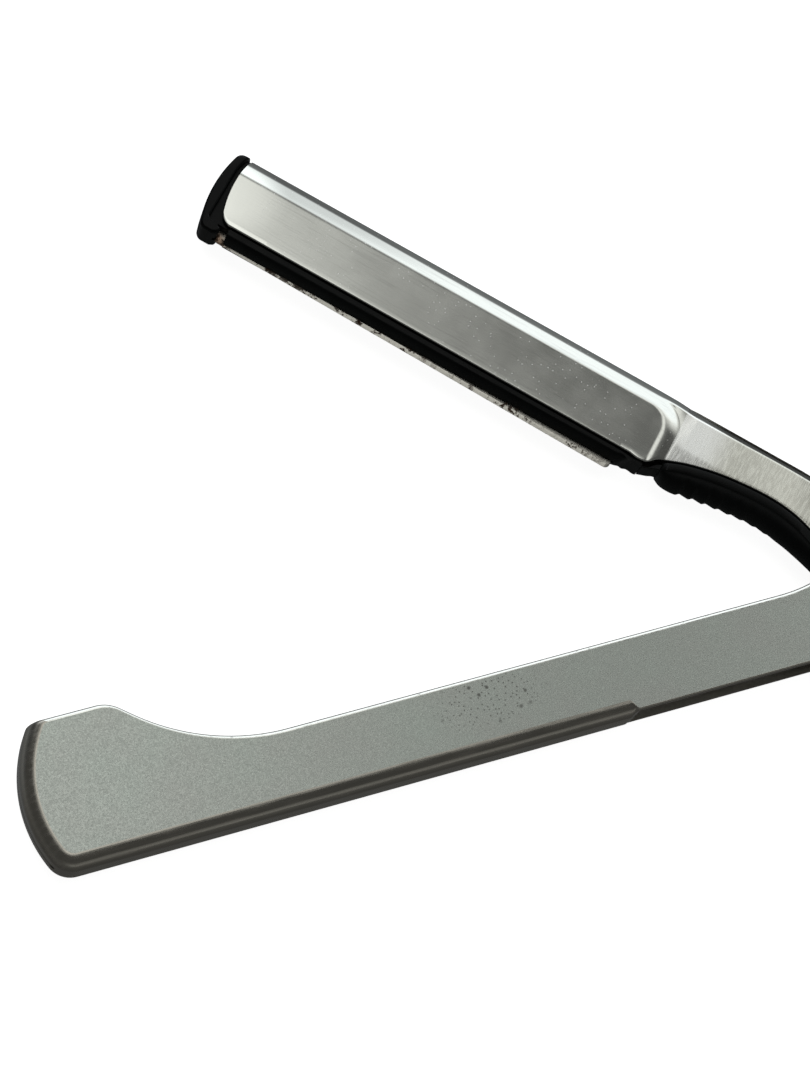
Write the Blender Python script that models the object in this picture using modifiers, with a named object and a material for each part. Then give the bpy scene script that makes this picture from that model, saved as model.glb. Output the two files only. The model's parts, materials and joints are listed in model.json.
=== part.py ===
"""Folding barber's razor with a sliding blade carrier.

The handle is one steel sheet folded along its lower edge. The head turns between the
handle's two plates on a rivet. It is a second folded sheet, with a black thumb rest in
its shank and a black carrier that slides in from the tip and holds a long thin blade.

The model stands in metres with +Z up. The origin is where the hinge axis meets the
handle's lower face. The handle lies along -X, its folded back faces -Y. The numbers
below are in millimetres, and MM turns them into metres where a mesh is made.
"""

import math

import bmesh
import bpy
from mathutils import Matrix, Vector

MM = 0.001

# Handle
HANDLE_THICK = 7.0          # over both plates
SHEET = 0.7                 # handle sheet
FOLD_RADIUS = 2.0           # outside radius of the folded back and end wall
BACK_Y = -8.53              # outside of the folded back
PLATE_Y = -8.13             # lower edges of the plates beside the open slot
TOP_Y = 1.97                # straight upper edges of the plates
HUMP_Y = 11.37              # top of the hump at the far end
SLOT_X = -43.0              # the fold ends here and the open slot begins
STEP_RUN = 0.4              # length of the small step from fold to open edge
LOBE_RADIUS = -PLATE_Y      # round pivot end
LOBE_BLEND_X = -18.78       # the upper edge starts to rise to the lobe
END_CENTRE = (-106.08, 0.72)
END_RADIUS = 18.7
END_TOP_CORNER = 1.0
END_LOW_CORNER = 3.5
HUMP_CORNER_X = -99.98      # where the hump's slope would meet the straight edge
HUMP_SLOPE = math.radians(41.0)
HUMP_HOLLOW_RADIUS = 28.7
HUMP_ROUND_RADIUS = 4.5
RIM = 0.3                   # small rounding of the plates' outer edges
SEAM = 0.3                  # gap between the two flanges of the end wall
SEAM_DROP = 1.9             # the seam ends this far above the folded back
SEAM_X = -117.0             # inside the end wall, where the seam's cutters stop
RELIEF_RADIUS = 0.45        # round relief at the lower end of that seam

# Pivot
SEAT_RADIUS = 3.4
SEAT_DEPTH = 0.45
RIVET_HEAD_RADIUS = 3.2
RIVET_HEAD = 0.35
RIVET_RADIUS = 1.4
PLATE_HOLE_RADIUS = 1.6
WASHER_RADIUS = 4.0
WASHER_HOLE_RADIUS = 1.6
BUSH_RADIUS = 2.1
BUSH_HOLE_RADIUS = 1.6
TANG_HOLE_RADIUS = 2.25
PLAY = 0.12                 # clearance between flat faces at the pivot
RIVET_EDGE = 0.1            # small chamfer on the rivet's ends

# Head, in its folded place: the tip towards -X, the spine towards +Y
OPEN_ANGLE = math.radians(45.5)
SPINE_Y = 7.22
TANG_HALF = 1.75            # half thickness of the shank and tail
FACE_HALF = 2.35            # half thickness at the raised face
HEAD_SHEET = 0.5
BEVEL_TOP = 1.0             # below the spine line: where the long bevel starts
BEVEL_LOW = 3.0             # and where the raised face starts
FACE_HEEL_X = -38.5
HEEL_SLOPE = 1.4            # run of the slope at the heel end of the raised face
FACE_CORNER = 3.0
TIP_ARC_CENTRE = (-88.2, 2.9)
TIP_ARC_RADIUS = 18.0
LOW_TIP_Y = -3.7
LOW_HEEL_Y = -4.0
TIP_CORNER = 1.2
CHANNEL_TOP = 0.9           # from the spine line down to the space inside the sheet
SPINE_ROUNDING = ((0.85, 0.0), (1.3, 0.2), (1.6, 0.55), (TANG_HALF, BEVEL_TOP))

# Thumb rest
GRIP_HALF = 2.3
GRIP_TENON_HALF = 1.05
GRIP_TENON_HIGH = 2.6       # reach of the tenon above the shank's lower edge
GRIP_GAP = 0.5              # between the shank's lower edge and the flange
GRIP_BAND = 1.2             # straight side of the flange
RIB_PITCH = 1.9
RIB_DEPTH = 0.38
RIB_COUNT = 7
RIB_START_X = -33.1
GRIP_PIN = (-11.6, 0.2)
GRIP_PIN_RADIUS = 0.6
GRIP_PIN_HOLE = 0.78

# Blade and carrier
CARRIER_HALF = 1.6
CARRIER_TOP_Y = SPINE_Y - 3.6
CARRIER_HEEL_X = -38.6
GUARD_HALF = 1.95
GUARD_TOP_Y = LOW_HEEL_Y - 0.25
GUARD_Y = SPINE_Y - 12.9
GUARD_TIP_X = -103.5
WINDOW_X = -105.5
CAP_INNER_X = -107.0
CAP_ARC_CENTRE = (-88.82, 1.0)
CAP_ARC_RADIUS = 19.7
CAP_LOW_Y = SPINE_Y - 13.27
CAP_CORNER = 1.2
CAP_HALF = 2.3
NECK_HALF = 1.6
BLADE_LENGTH = 62.0
BLADE_HEIGHT = 8.4
BLADE_THICK = 0.25
BLADE_SLOT = 0.6
BLADE_GRIND = 0.5           # height of the ground edge
BLADE_TIP_X = -104.9
BLADE_EDGE_TIP_Y = SPINE_Y - 13.05
BLADE_EDGE_HEEL_Y = SPINE_Y - 14.05

MID_Z = HANDLE_THICK / 2
BEYOND = 12.0               # how far a cutter reaches past what it cuts
SMOOTH_ANGLE = math.radians(35.0)


# ---------------------------------------------------------------- outlines

def arc(centre, radius, start, end, steps):
    """Points on a circle from one angle to another, both ends included."""
    return [(centre[0] + radius * math.cos(start + (end - start) * i / steps),
             centre[1] + radius * math.sin(start + (end - start) * i / steps))
            for i in range(steps + 1)]


def rounded_corner(before, corner, after, radius, steps):
    """The arc that rounds a corner of an outline."""
    corner = Vector(corner)
    back = (Vector(before) - corner).normalized()
    ahead = (Vector(after) - corner).normalized()
    half = back.angle(ahead) / 2
    centre = corner + (back + ahead).normalized() * radius / math.sin(half)
    reach = radius / math.tan(half)
    first = corner + back * reach - centre
    last = corner + ahead * reach - centre
    turn = first.angle_signed(last)
    start = math.atan2(first.y, first.x)
    return arc(centre, radius, start, start - turn, steps)


def end_wall(centre, radius, high_y, high_corner, low_y, low_corner, steps):
    """A bulging end: an upper corner, a long arc and a lower corner, all tangent."""
    points = []
    angles = []
    for y, corner, side in ((high_y, high_corner, -1), (low_y, low_corner, 1)):
        corner_y = y + side * corner
        across = math.sqrt((radius - corner) ** 2 - (corner_y - centre[1]) ** 2)
        corner_centre = (centre[0] - across, corner_y)
        angle = math.atan2(corner_y - centre[1], -across) % (2 * math.pi)
        angles.append((corner_centre, corner, angle))
    (high, high_radius, high_angle), (low, low_radius, low_angle) = angles
    points += arc(high, high_radius, math.radians(90), high_angle, 4)
    points += arc(centre, radius, high_angle, low_angle, steps)[1:-1]
    points += arc(low, low_radius, low_angle, math.radians(270), 5)
    return points


def smooth_through(points, steps):
    """A smooth curve through the given points (Catmull-Rom)."""
    ends = [Vector(p) for p in points]
    ends = [2 * ends[0] - ends[1]] + ends + [2 * ends[-1] - ends[-2]]
    curve = []
    for a, b, c, d in zip(ends, ends[1:], ends[2:], ends[3:]):
        for i in range(steps):
            t = i / steps
            curve.append(0.5 * (2 * b + (c - a) * t + (2 * a - 5 * b + 4 * c - d) * t ** 2
                                + (3 * b - a - 3 * c + d) * t ** 3))
    curve.append(ends[-2])
    return [(p.x, p.y) for p in curve]


def height_on(curve, x):
    """The y of a curve at x. The curve's points run in either direction along X."""
    for (x0, y0), (x1, y1) in zip(curve, curve[1:]):
        if min(x0, x1) <= x <= max(x0, x1):
            return y0 + (y1 - y0) * (x - x0) / (x1 - x0)
    raise ValueError("x lies outside the curve")


# ---------------------------------------------------------------- mesh builders

def material(name, colour, roughness, metallic):
    made = bpy.data.materials.new(name)
    made.use_nodes = True
    shader = made.node_tree.nodes["Principled BSDF"]
    shader.inputs["Base Color"].default_value = (*colour, 1.0)
    shader.inputs["Roughness"].default_value = roughness
    shader.inputs["Metallic"].default_value = metallic
    made.diffuse_color = (*colour, 1.0)
    return made


def add_object(name, work, collection, parent=None, finish=None):
    """Put a bmesh, built in millimetres, in the scene as an object in metres."""
    if work.faces:
        bmesh.ops.recalc_face_normals(work, faces=work.faces)
    bmesh.ops.scale(work, vec=(MM, MM, MM), verts=work.verts)
    mesh = bpy.data.meshes.new(name)
    work.to_mesh(mesh)
    work.free()
    mesh.shade_smooth()
    mesh.set_sharp_from_angle(angle=SMOOTH_ANGLE)
    made = bpy.data.objects.new(name, mesh)
    collection.objects.link(made)
    made.parent = parent
    if finish:
        mesh.materials.append(finish)
    return made


def loft(sections):
    """A solid through sections of equal length, closed at the first and the last."""
    work = bmesh.new()
    rings = [[work.verts.new(point) for point in section] for section in sections]
    work.faces.new(rings[0])
    work.faces.new(rings[-1])
    for low, high in zip(rings, rings[1:]):
        for i in range(len(low)):
            j = (i + 1) % len(low)
            work.faces.new((low[i], low[j], high[j], high[i]))
    return work


def stack(levels):
    """A loft through outlines that lie flat, each at its own height."""
    return loft([[(x, y, z) for x, y in outline] for z, outline in levels])


def both_sides(half_levels):
    """Levels given for one side of the middle plane, made symmetric about it."""
    below = [(-half, outline) for half, outline in reversed(half_levels)]
    return below + list(half_levels)


def prism(outline, low, high):
    """A flat outline extruded from one height to another."""
    work = bmesh.new()
    base = work.faces.new([work.verts.new((x, y, low)) for x, y in outline])
    raised = bmesh.ops.extrude_face_region(work, geom=[base], use_keep_orig=True)["geom"]
    corners = [part for part in raised if isinstance(part, bmesh.types.BMVert)]
    bmesh.ops.translate(work, vec=(0, 0, high - low), verts=corners)
    return work


def rod(radius, low, high, place=(0.0, 0.0), segments=24):
    """A round rod that stands along Z."""
    work = bmesh.new()
    at = Matrix.Translation((*place, (low + high) / 2))
    bmesh.ops.create_cone(work, cap_ends=True, segments=segments, radius1=radius, radius2=radius,
                          depth=high - low, matrix=at)
    return work


def turned(name, profile, collection, parent, finish=None, steps=32):
    """A profile of (radius, z) points, top to bottom outside, turned about the hinge axis."""
    work = bmesh.new()
    line = [work.verts.new((radius, 0, z)) for radius, z in profile]
    if profile[0][0] > 0:
        line.append(line[0])
    for pair in zip(line, line[1:]):
        work.edges.new(pair)
    made = add_object(name, work, collection, parent, finish)
    turn = made.modifiers.new("turn", "SCREW")
    turn.steps = steps
    turn.render_steps = steps
    turn.use_merge_vertices = True
    turn.merge_threshold = 0.00001
    return made


def ring(radius, hole, low, high):
    """The profile of a flat ring."""
    return [(hole, high), (radius, high), (radius, low), (hole, low)]


def boolean(target, tool, operation="DIFFERENCE"):
    step = target.modifiers.new(tool.name, "BOOLEAN")
    step.operation = operation
    step.solver = "EXACT"
    step.object = tool
    tool.hide_render = True
    tool.display_type = "WIRE"


def clear_scene():
    for old in list(bpy.data.objects):
        bpy.data.objects.remove(old, do_unlink=True)


def new_collection(name):
    made = bpy.data.collections.new(name)
    bpy.context.scene.collection.children.link(made)
    return made


def pivot_empty(name, collection, angle):
    empty = bpy.data.objects.new(name, None)
    empty.location = (0.0, 0.0, MID_Z * MM)
    empty.rotation_euler = (0.0, 0.0, angle)
    empty.empty_display_size = 0.01
    collection.objects.link(empty)
    return empty


# ---------------------------------------------------------------- handle

def handle_outline(fold, rim):
    """The handle from the side. fold draws the back and end wall in, rim the open edges."""
    top = TOP_Y - rim
    hump = HUMP_Y - rim
    lobe = LOBE_RADIUS - rim
    points = end_wall(END_CENTRE, END_RADIUS - fold, hump, END_TOP_CORNER,
                      BACK_Y + fold, END_LOW_CORNER - fold, 12)
    points += [(SLOT_X, BACK_Y + fold), (SLOT_X + STEP_RUN, PLATE_Y + rim)]
    blend = (LOBE_BLEND_X ** 2 + TOP_Y ** 2 - LOBE_RADIUS ** 2) / (2 * (LOBE_RADIUS - TOP_Y))
    blend_centre = (LOBE_BLEND_X, TOP_Y + blend)
    meet = math.atan2(blend_centre[1], blend_centre[0])
    points += arc((0, 0), lobe, math.radians(-90), meet, 22)
    points += arc(blend_centre, blend + rim, meet - math.pi, math.radians(-90), 6)[1:]
    foot = (HUMP_CORNER_X, top)
    reach = (hump - top) / math.sin(HUMP_SLOPE)
    head = (foot[0] - reach * math.cos(HUMP_SLOPE), hump)
    points += rounded_corner((0, top), foot, head, HUMP_HOLLOW_RADIUS + rim, 8)
    points += rounded_corner(foot, head, (END_CENTRE[0] - END_RADIUS, hump), HUMP_ROUND_RADIUS - rim, 5)
    return points


def channel_outline(fold):
    """The space between the plates, open above, and below beside the slot."""
    points = end_wall(END_CENTRE, END_RADIUS - SHEET - fold, HUMP_Y + 1.2, END_TOP_CORNER,
                      BACK_Y + SHEET + fold, END_LOW_CORNER - SHEET - fold, 12)
    slot = SLOT_X + STEP_RUN + 0.15
    points += [(slot, BACK_Y + SHEET + fold), (slot, PLATE_Y - BEYOND),
               (LOBE_RADIUS + BEYOND, PLATE_Y - BEYOND),
               (LOBE_RADIUS + BEYOND, HUMP_Y + BEYOND), (points[0][0], HUMP_Y + BEYOND)]
    return points


def draw_in(radius, depth):
    """How far a quarter-round edge draws in at a depth below the face it runs into."""
    if depth >= radius:
        return 0.0
    return radius - math.sqrt(radius ** 2 - (radius - depth) ** 2)


def fold_levels(outline, half, radius, steps):
    """Levels of one half of a folded sheet, from its middle up to the plate's face."""
    levels = []
    for i in range(steps + 1):
        depth = radius * (1 - math.sin(math.radians(90) * i / steps))
        levels.append((half - depth, outline(draw_in(radius, depth), draw_in(RIM, depth))))
    return levels


def make_handle(parts, cutters, steel):
    outer = fold_levels(handle_outline, MID_Z, FOLD_RADIUS, 6)
    inner = fold_levels(lambda fold, _: channel_outline(fold), MID_Z - SHEET, FOLD_RADIUS - SHEET, 4)
    centre = pivot_empty("handle_middle", cutters, 0.0)
    shell = add_object("handle_shell", stack(both_sides(outer)), parts,
                       pivot_empty("handle_axis", parts, 0.0), steel)
    boolean(shell, add_object("handle_channel_cut", stack(both_sides(inner)), cutters, centre))
    seat = MID_Z - SEAT_DEPTH
    past = MID_Z + BEYOND
    boolean(shell, turned("rivet_seat_cut", [
        (0, past), (SEAT_RADIUS, past), (SEAT_RADIUS, seat), (PLATE_HOLE_RADIUS, seat),
        (PLATE_HOLE_RADIUS, -seat), (SEAT_RADIUS, -seat), (SEAT_RADIUS, -past), (0, -past),
    ], cutters, centre))
    seam_low = BACK_Y + SEAM_DROP
    seam_end = END_CENTRE[0] - END_RADIUS - BEYOND
    seam = prism([(seam_end, seam_low), (SEAM_X, seam_low), (SEAM_X, HUMP_Y + BEYOND),
                  (seam_end, HUMP_Y + BEYOND)], -SEAM / 2, SEAM / 2)
    boolean(shell, add_object("end_seam_cut", seam, cutters, centre))
    relief = rod(RELIEF_RADIUS, 0, BEYOND, segments=12)
    bmesh.ops.rotate(relief, matrix=Matrix.Rotation(math.radians(-90), 3, "Y"), verts=relief.verts)
    bmesh.ops.translate(relief, vec=(SEAM_X, seam_low, 0), verts=relief.verts)
    boolean(shell, add_object("end_relief_cut", relief, cutters, centre))


# ---------------------------------------------------------------- pivot

def make_pivot(parts, steel, brass):
    """Rivet, its burr and two washers, all turned about the hinge."""
    axis = pivot_empty("pivot_axis", parts, 0.0)
    inside = MID_Z - SHEET
    head = RIVET_HEAD - MID_Z
    turned("pivot_rivet", [
        (0, MID_Z), (RIVET_RADIUS - RIVET_EDGE, MID_Z), (RIVET_RADIUS, MID_Z - RIVET_EDGE),
        (RIVET_RADIUS, head), (RIVET_HEAD_RADIUS, head), (RIVET_HEAD_RADIUS, RIVET_EDGE - MID_Z),
        (RIVET_HEAD_RADIUS - RIVET_EDGE, -MID_Z), (0, -MID_Z),
    ], parts, axis, steel)
    turned("rivet_burr", ring(RIVET_HEAD_RADIUS, RIVET_RADIUS + PLAY, -head, MID_Z), parts, axis, steel)
    low, high = TANG_HALF + PLAY, inside - PLAY
    turned("washer_lower", ring(WASHER_RADIUS, WASHER_HOLE_RADIUS, -high, -low), parts, axis, brass)
    turned("washer_upper", ring(WASHER_RADIUS, WASHER_HOLE_RADIUS, low, high), parts, axis, brass)


# ---------------------------------------------------------------- head

def upper_edge(inset):
    """Spine of the holder, shank and tail, from the tail's end to the tip."""
    bend = smooth_through([(34.0, 12.6), (27.0, 9.6), (18.0, 6.6), (9.0, 5.0), (0.0, 4.9),
                           (-8.0, 6.0), (-16.0, 7.1), (-24.0, SPINE_Y)], 4)
    points = []
    for (x0, y0), (x1, y1) in zip(bend, bend[1:]):
        along = Vector((x1 - x0, y1 - y0)).normalized()
        points.append((x0 + inset * along.y, y0 - inset * abs(along.x)))
    return points + [(-24.0, SPINE_Y - inset)]


def lower_edge():
    """Lower edge from the heel corner along the shank, round the pivot and to the tail's end."""
    return smooth_through([(-41.5, LOW_HEEL_Y), (-40.0, -4.2), (-38.7, -3.9), (-37.4, -2.7), (-35.5, -1.8),
                           (-32.6, -0.8), (-28.0, 0.15), (-22.0, 0.62), (-17.5, 0.2), (-13.5, -1.1),
                           (-9.0, -3.4), (-4.5, -4.9), (0.5, -5.1), (6.0, -3.2), (14.0, 0.0),
                           (22.0, 2.9), (30.0, 6.2), (36.0, 9.2)], 3)


def head_outline(inset):
    """The folded sheet of the head from the side: holder, shank and tail."""
    start = math.asin((SPINE_Y - inset - TIP_ARC_CENTRE[1]) / TIP_ARC_RADIUS)
    corner_y = LOW_TIP_Y + TIP_CORNER
    across = math.sqrt((TIP_ARC_RADIUS - TIP_CORNER) ** 2 - (corner_y - TIP_ARC_CENTRE[1]) ** 2)
    stop = math.atan2(corner_y - TIP_ARC_CENTRE[1], -across) % (2 * math.pi)
    points = upper_edge(inset)
    points += arc(TIP_ARC_CENTRE, TIP_ARC_RADIUS, math.pi - start, stop, 8)
    points += arc((TIP_ARC_CENTRE[0] - across, corner_y), TIP_CORNER, stop, math.radians(270), 4)[1:]
    points += lower_edge()
    return points + [(37.2, 10.6), (36.6 - 0.4 * inset, 12.2 - inset)]


def face_outline(top, heel):
    """The raised face of the holder, running past the sheet's lower edge and tip."""
    past_tip = TIP_ARC_CENTRE[0] - TIP_ARC_RADIUS - BEYOND
    past_edge = LOW_HEEL_Y - BEYOND
    points = rounded_corner((heel, past_edge), (heel, top), (past_tip, top), FACE_CORNER, 5)
    return points + [(past_tip, top), (past_tip, past_edge), (heel, past_edge)]


def head_channel_outline(top):
    """The space inside the folded sheet, open along the lower edge and at the tip."""
    past_tip = TIP_ARC_CENTRE[0] - TIP_ARC_RADIUS - BEYOND
    past_edge = LOW_HEEL_Y - BEYOND
    points = [p for p in upper_edge(top) if p[0] < 33.0]
    return points + [(past_tip, SPINE_Y - top), (past_tip, past_edge), (points[0][0], past_edge)]


def make_holder(parts, cutters, axis, cut_axis, steel):
    body = [(half, head_outline(inset)) for half, inset in SPINE_ROUNDING]
    shell = add_object("holder_shell", stack(both_sides(body)), parts, axis, steel)
    face = stack(both_sides([
        (TANG_HALF - 0.1, face_outline(SPINE_Y - BEVEL_TOP + 0.33, FACE_HEEL_X + HEEL_SLOPE + 0.23)),
        (FACE_HALF, face_outline(SPINE_Y - BEVEL_LOW, FACE_HEEL_X)),
    ]))
    boolean(shell, add_object("raised_face_tool", face, cutters, cut_axis), "UNION")
    side = prism(head_outline(0.0), -MID_Z, MID_Z)
    boolean(shell, add_object("head_side_tool", side, cutters, cut_axis), "INTERSECT")
    inner = TANG_HALF - HEAD_SHEET
    channel = prism(head_channel_outline(CHANNEL_TOP), -inner, inner)
    boolean(shell, add_object("head_channel_cut", channel, cutters, cut_axis))
    wide = stack(both_sides([
        (inner - 0.05, face_outline(SPINE_Y - BEVEL_TOP - 0.3, FACE_HEEL_X - HEAD_SHEET)),
        (FACE_HALF - HEAD_SHEET, face_outline(SPINE_Y - BEVEL_LOW - 0.3, FACE_HEEL_X - HEAD_SHEET)),
    ]))
    boolean(shell, add_object("face_channel_cut", wide, cutters, cut_axis))
    boolean(shell, add_object("tang_hole_cut", rod(TANG_HOLE_RADIUS, -MID_Z, MID_Z), cutters, cut_axis))
    hole = rod(GRIP_PIN_HOLE, -MID_Z, MID_Z, GRIP_PIN, 16)
    boolean(shell, add_object("grip_pin_hole_cut", hole, cutters, cut_axis))


# ---------------------------------------------------------------- thumb rest

def grip_bottom():
    """Lowest line of the thumb rest, before the ribs, from its nose to its hidden end."""
    return smooth_through([(-36.4, -4.0), (-35.8, -4.65), (-34.7, -5.0), (-33.1, -5.0), (-29.3, -4.3),
                           (-25.5, -3.75), (-21.7, -3.45), (-17.4, -3.8), (-13.6, -4.6),
                           (-9.0, -5.8), (-5.5, -6.6)], 4)


def rib_line():
    """The thumb rest's lowest line with its ribs: each falls steeply and rises slowly."""
    line = grip_bottom()
    points = [(x, height_on(line, x)) for x in (-36.4, -35.8, -34.8)]
    for i in range(RIB_COUNT + 1):
        peak = RIB_START_X + i * RIB_PITCH
        valley = peak + 0.3 * RIB_PITCH
        depth = RIB_DEPTH * (1 - i / (RIB_COUNT + 3))
        points += [(peak, height_on(line, peak)), (valley, height_on(line, valley) + depth)]
    return points + [(x, height_on(line, x)) for x in (-16.5, -14.0, -11.0, -8.0, -5.5)]


def grip_section(x, bottom, half):
    """Tenon, flange and half-round underside of the thumb rest across its length."""
    edge = height_on(lower_edge(), x)
    flange = edge - GRIP_GAP
    band = max(flange - GRIP_BAND, bottom + 0.05)
    right = [(edge + GRIP_TENON_HIGH, GRIP_TENON_HALF), (flange, GRIP_TENON_HALF),
             (flange, half), (band, half)]
    steps = 5
    for i in range(1, steps):
        angle = math.radians(90) * i / steps
        right.append((band - (band - bottom) * math.sin(angle), half * math.cos(angle)))
    left = [(y, -z) for y, z in reversed(right)]
    return [(x, y, z) for y, z in right + [(bottom, 0.0)] + left]


def make_thumb_rest(parts, cutters, axis, cut_axis, rubber):
    nose_narrowing = (0.5, 0.15, 0.0)
    sections = [grip_section(x, bottom, GRIP_HALF - nose_narrowing[min(i, 2)])
                for i, (x, bottom) in enumerate(rib_line())]
    rest = add_object("thumb_rest", loft(sections), parts, axis, rubber)
    tongue = prism([(-35.6, -2.7), (-36.4, -2.75), (-37.3, -3.15), (-38.2, -4.15), (-38.8, -4.4),
                    (-38.6, -4.65), (-37.6, -4.0), (-36.6, -3.8), (-35.6, -3.8)], -1.6, 1.6)
    boolean(rest, add_object("nose_tongue_tool", tongue, cutters, cut_axis), "UNION")
    hole = rod(GRIP_PIN_HOLE, -MID_Z, MID_Z, GRIP_PIN, 16)
    boolean(rest, add_object("grip_hole_cut", hole, cutters, cut_axis))


# ---------------------------------------------------------------- carrier and blade

def guard_outline(low):
    """Side of the band that runs below the holder on both sides of the blade."""
    heel = smooth_through([(-42.9, low), (-42.1, low + 0.2), (-41.3, -4.85), (-40.5, -4.62),
                           (-39.6, -4.72), (-39.1, -4.66)], 3)
    return [(GUARD_TIP_X, LOW_TIP_Y - 0.25), (GUARD_TIP_X, low)] + heel + [
        (-39.1, GUARD_TOP_Y - 0.15), (-41.0, GUARD_TOP_Y - 0.15), (-42.5, GUARD_TOP_Y)]


def cap_outline(inset):
    """The rim at the tip from the side, drawn in by inset."""
    centre = CAP_ARC_CENTRE
    wall = end_wall(centre, CAP_ARC_RADIUS - inset, SPINE_Y - inset, CAP_CORNER - inset,
                    CAP_LOW_Y + inset, CAP_CORNER - inset, 10)
    return wall + [(WINDOW_X - inset, CAP_LOW_Y + inset), (WINDOW_X - inset, LOW_TIP_Y - 0.7),
                   (CAP_INNER_X - inset, LOW_TIP_Y + 0.3), (CAP_INNER_X - inset, SPINE_Y - inset)]


def make_carrier(parts, cutters, axis, cut_axis, plastic):
    core_low = GUARD_TOP_Y - 0.6
    core = prism([(CARRIER_HEEL_X - 0.6, 0.6), (CARRIER_HEEL_X - FACE_CORNER - 0.6, CARRIER_TOP_Y),
                  (CAP_INNER_X - 0.4, CARRIER_TOP_Y),
                  (CAP_INNER_X - 0.4, LOW_TIP_Y - 0.25), (GUARD_TIP_X - 0.3, LOW_TIP_Y - 0.25),
                  (GUARD_TIP_X + 0.5, core_low), (-42.0, core_low), (-41.0, GUARD_TOP_Y),
                  (CARRIER_HEEL_X - 0.6, GUARD_TOP_Y + 0.6)], -CARRIER_HALF, CARRIER_HALF)
    carrier = add_object("blade_carrier", core, parts, axis, plastic)
    guard = stack(both_sides([(GUARD_HALF - 0.5, guard_outline(GUARD_Y)),
                              (GUARD_HALF, guard_outline(GUARD_Y + 0.45))]))
    boolean(carrier, add_object("guard_tool", guard, cutters, cut_axis), "UNION")
    neck_low = CAP_LOW_Y + 0.7
    neck_high = SPINE_Y - 0.7
    neck_step = LOW_TIP_Y + 3.0
    neck = prism([(WINDOW_X, neck_step), (WINDOW_X, neck_low), (CAP_INNER_X - 0.5, neck_low),
                  (CAP_INNER_X - 0.5, neck_high), (CAP_INNER_X + 0.25, neck_high),
                  (CAP_INNER_X + 0.25, neck_step)], -NECK_HALF, NECK_HALF)
    boolean(carrier, add_object("neck_tool", neck, cutters, cut_axis), "UNION")
    cap = stack(both_sides([(CAP_HALF - 0.4, cap_outline(0.0)), (CAP_HALF - 0.12, cap_outline(0.12)),
                            (CAP_HALF, cap_outline(0.4))]))
    boolean(carrier, add_object("cap_tool", cap, cutters, cut_axis), "UNION")
    heel_x = BLADE_TIP_X + BLADE_LENGTH
    room = 0.25
    slot_top = BLADE_EDGE_TIP_Y + BLADE_HEIGHT + room
    slot = prism([(BLADE_TIP_X - room, slot_top), (BLADE_TIP_X - room, GUARD_Y - BEYOND),
                  (heel_x + room, GUARD_Y - BEYOND), (heel_x + room, slot_top)],
                 -BLADE_SLOT / 2, BLADE_SLOT / 2)
    boolean(carrier, add_object("blade_slot_cut", slot, cutters, cut_axis))


def blade_outline(edge):
    """The blade from the side, its cutting edge drawn up by edge."""
    heel_x = BLADE_TIP_X + BLADE_LENGTH
    return [(BLADE_TIP_X, BLADE_EDGE_TIP_Y + BLADE_HEIGHT), (BLADE_TIP_X, BLADE_EDGE_TIP_Y + edge),
            (heel_x, BLADE_EDGE_HEEL_Y + edge), (heel_x, BLADE_EDGE_HEEL_Y + BLADE_HEIGHT)]


def make_blade(parts, axis, steel):
    edge = 0.02
    blade = stack(both_sides([(edge, blade_outline(0.0)), (BLADE_THICK / 2, blade_outline(BLADE_GRIND))]))
    add_object("blade", blade, parts, axis, steel)


def main():
    clear_scene()
    parts = new_collection("straight_razor")
    cutters = new_collection("cutters")
    satin = material("satin_steel", (0.42, 0.44, 0.42), 0.42, 1.0)
    bright = material("polished_steel", (0.72, 0.72, 0.69), 0.16, 1.0)
    pin_steel = material("pin_steel", (0.62, 0.62, 0.60), 0.25, 1.0)
    brass = material("washer_bronze", (0.62, 0.45, 0.22), 0.35, 1.0)
    rubber = material("black_grip_plastic", (0.012, 0.014, 0.015), 0.5, 0.0)
    plastic = material("black_carrier_plastic", (0.010, 0.012, 0.013), 0.35, 0.0)
    blade_steel = material("blade_steel", (0.55, 0.54, 0.50), 0.25, 1.0)
    make_handle(parts, cutters, satin)
    make_pivot(parts, pin_steel, brass)
    head = pivot_empty("head_axis", parts, -OPEN_ANGLE)
    head_cut = pivot_empty("head_cut_axis", cutters, -OPEN_ANGLE)
    make_holder(parts, cutters, head, head_cut, bright)
    turned("pivot_bush", ring(BUSH_RADIUS, BUSH_HOLE_RADIUS, -TANG_HALF, TANG_HALF), parts, head, brass)
    make_thumb_rest(parts, cutters, head, head_cut, rubber)
    pin = rod(GRIP_PIN_RADIUS, -TANG_HALF, TANG_HALF, GRIP_PIN, 16)
    add_object("grip_rivet", pin, parts, head, pin_steel)
    make_carrier(parts, cutters, head, head_cut, plastic)
    make_blade(parts, head, blade_steel)


main()
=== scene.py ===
"""Looks for a folding barber's razor: its visible pieces, finishes, stage and camera.

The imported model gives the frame. Each visible piece is built here again with finer edges,
rides on the same body as the part it stands for, and takes a finish made of shader nodes.
Outlines are written in millimetres about the hinge axis, with the middle of the razor's
thickness at z = 0. MM turns them into metres where a mesh is made.
"""

import json
import math

import bmesh
import bpy
from bpy.props import FloatProperty, FloatVectorProperty, IntProperty, PointerProperty
from bpy.types import Operator, Panel, PropertyGroup
from mathutils import Matrix, Vector


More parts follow.
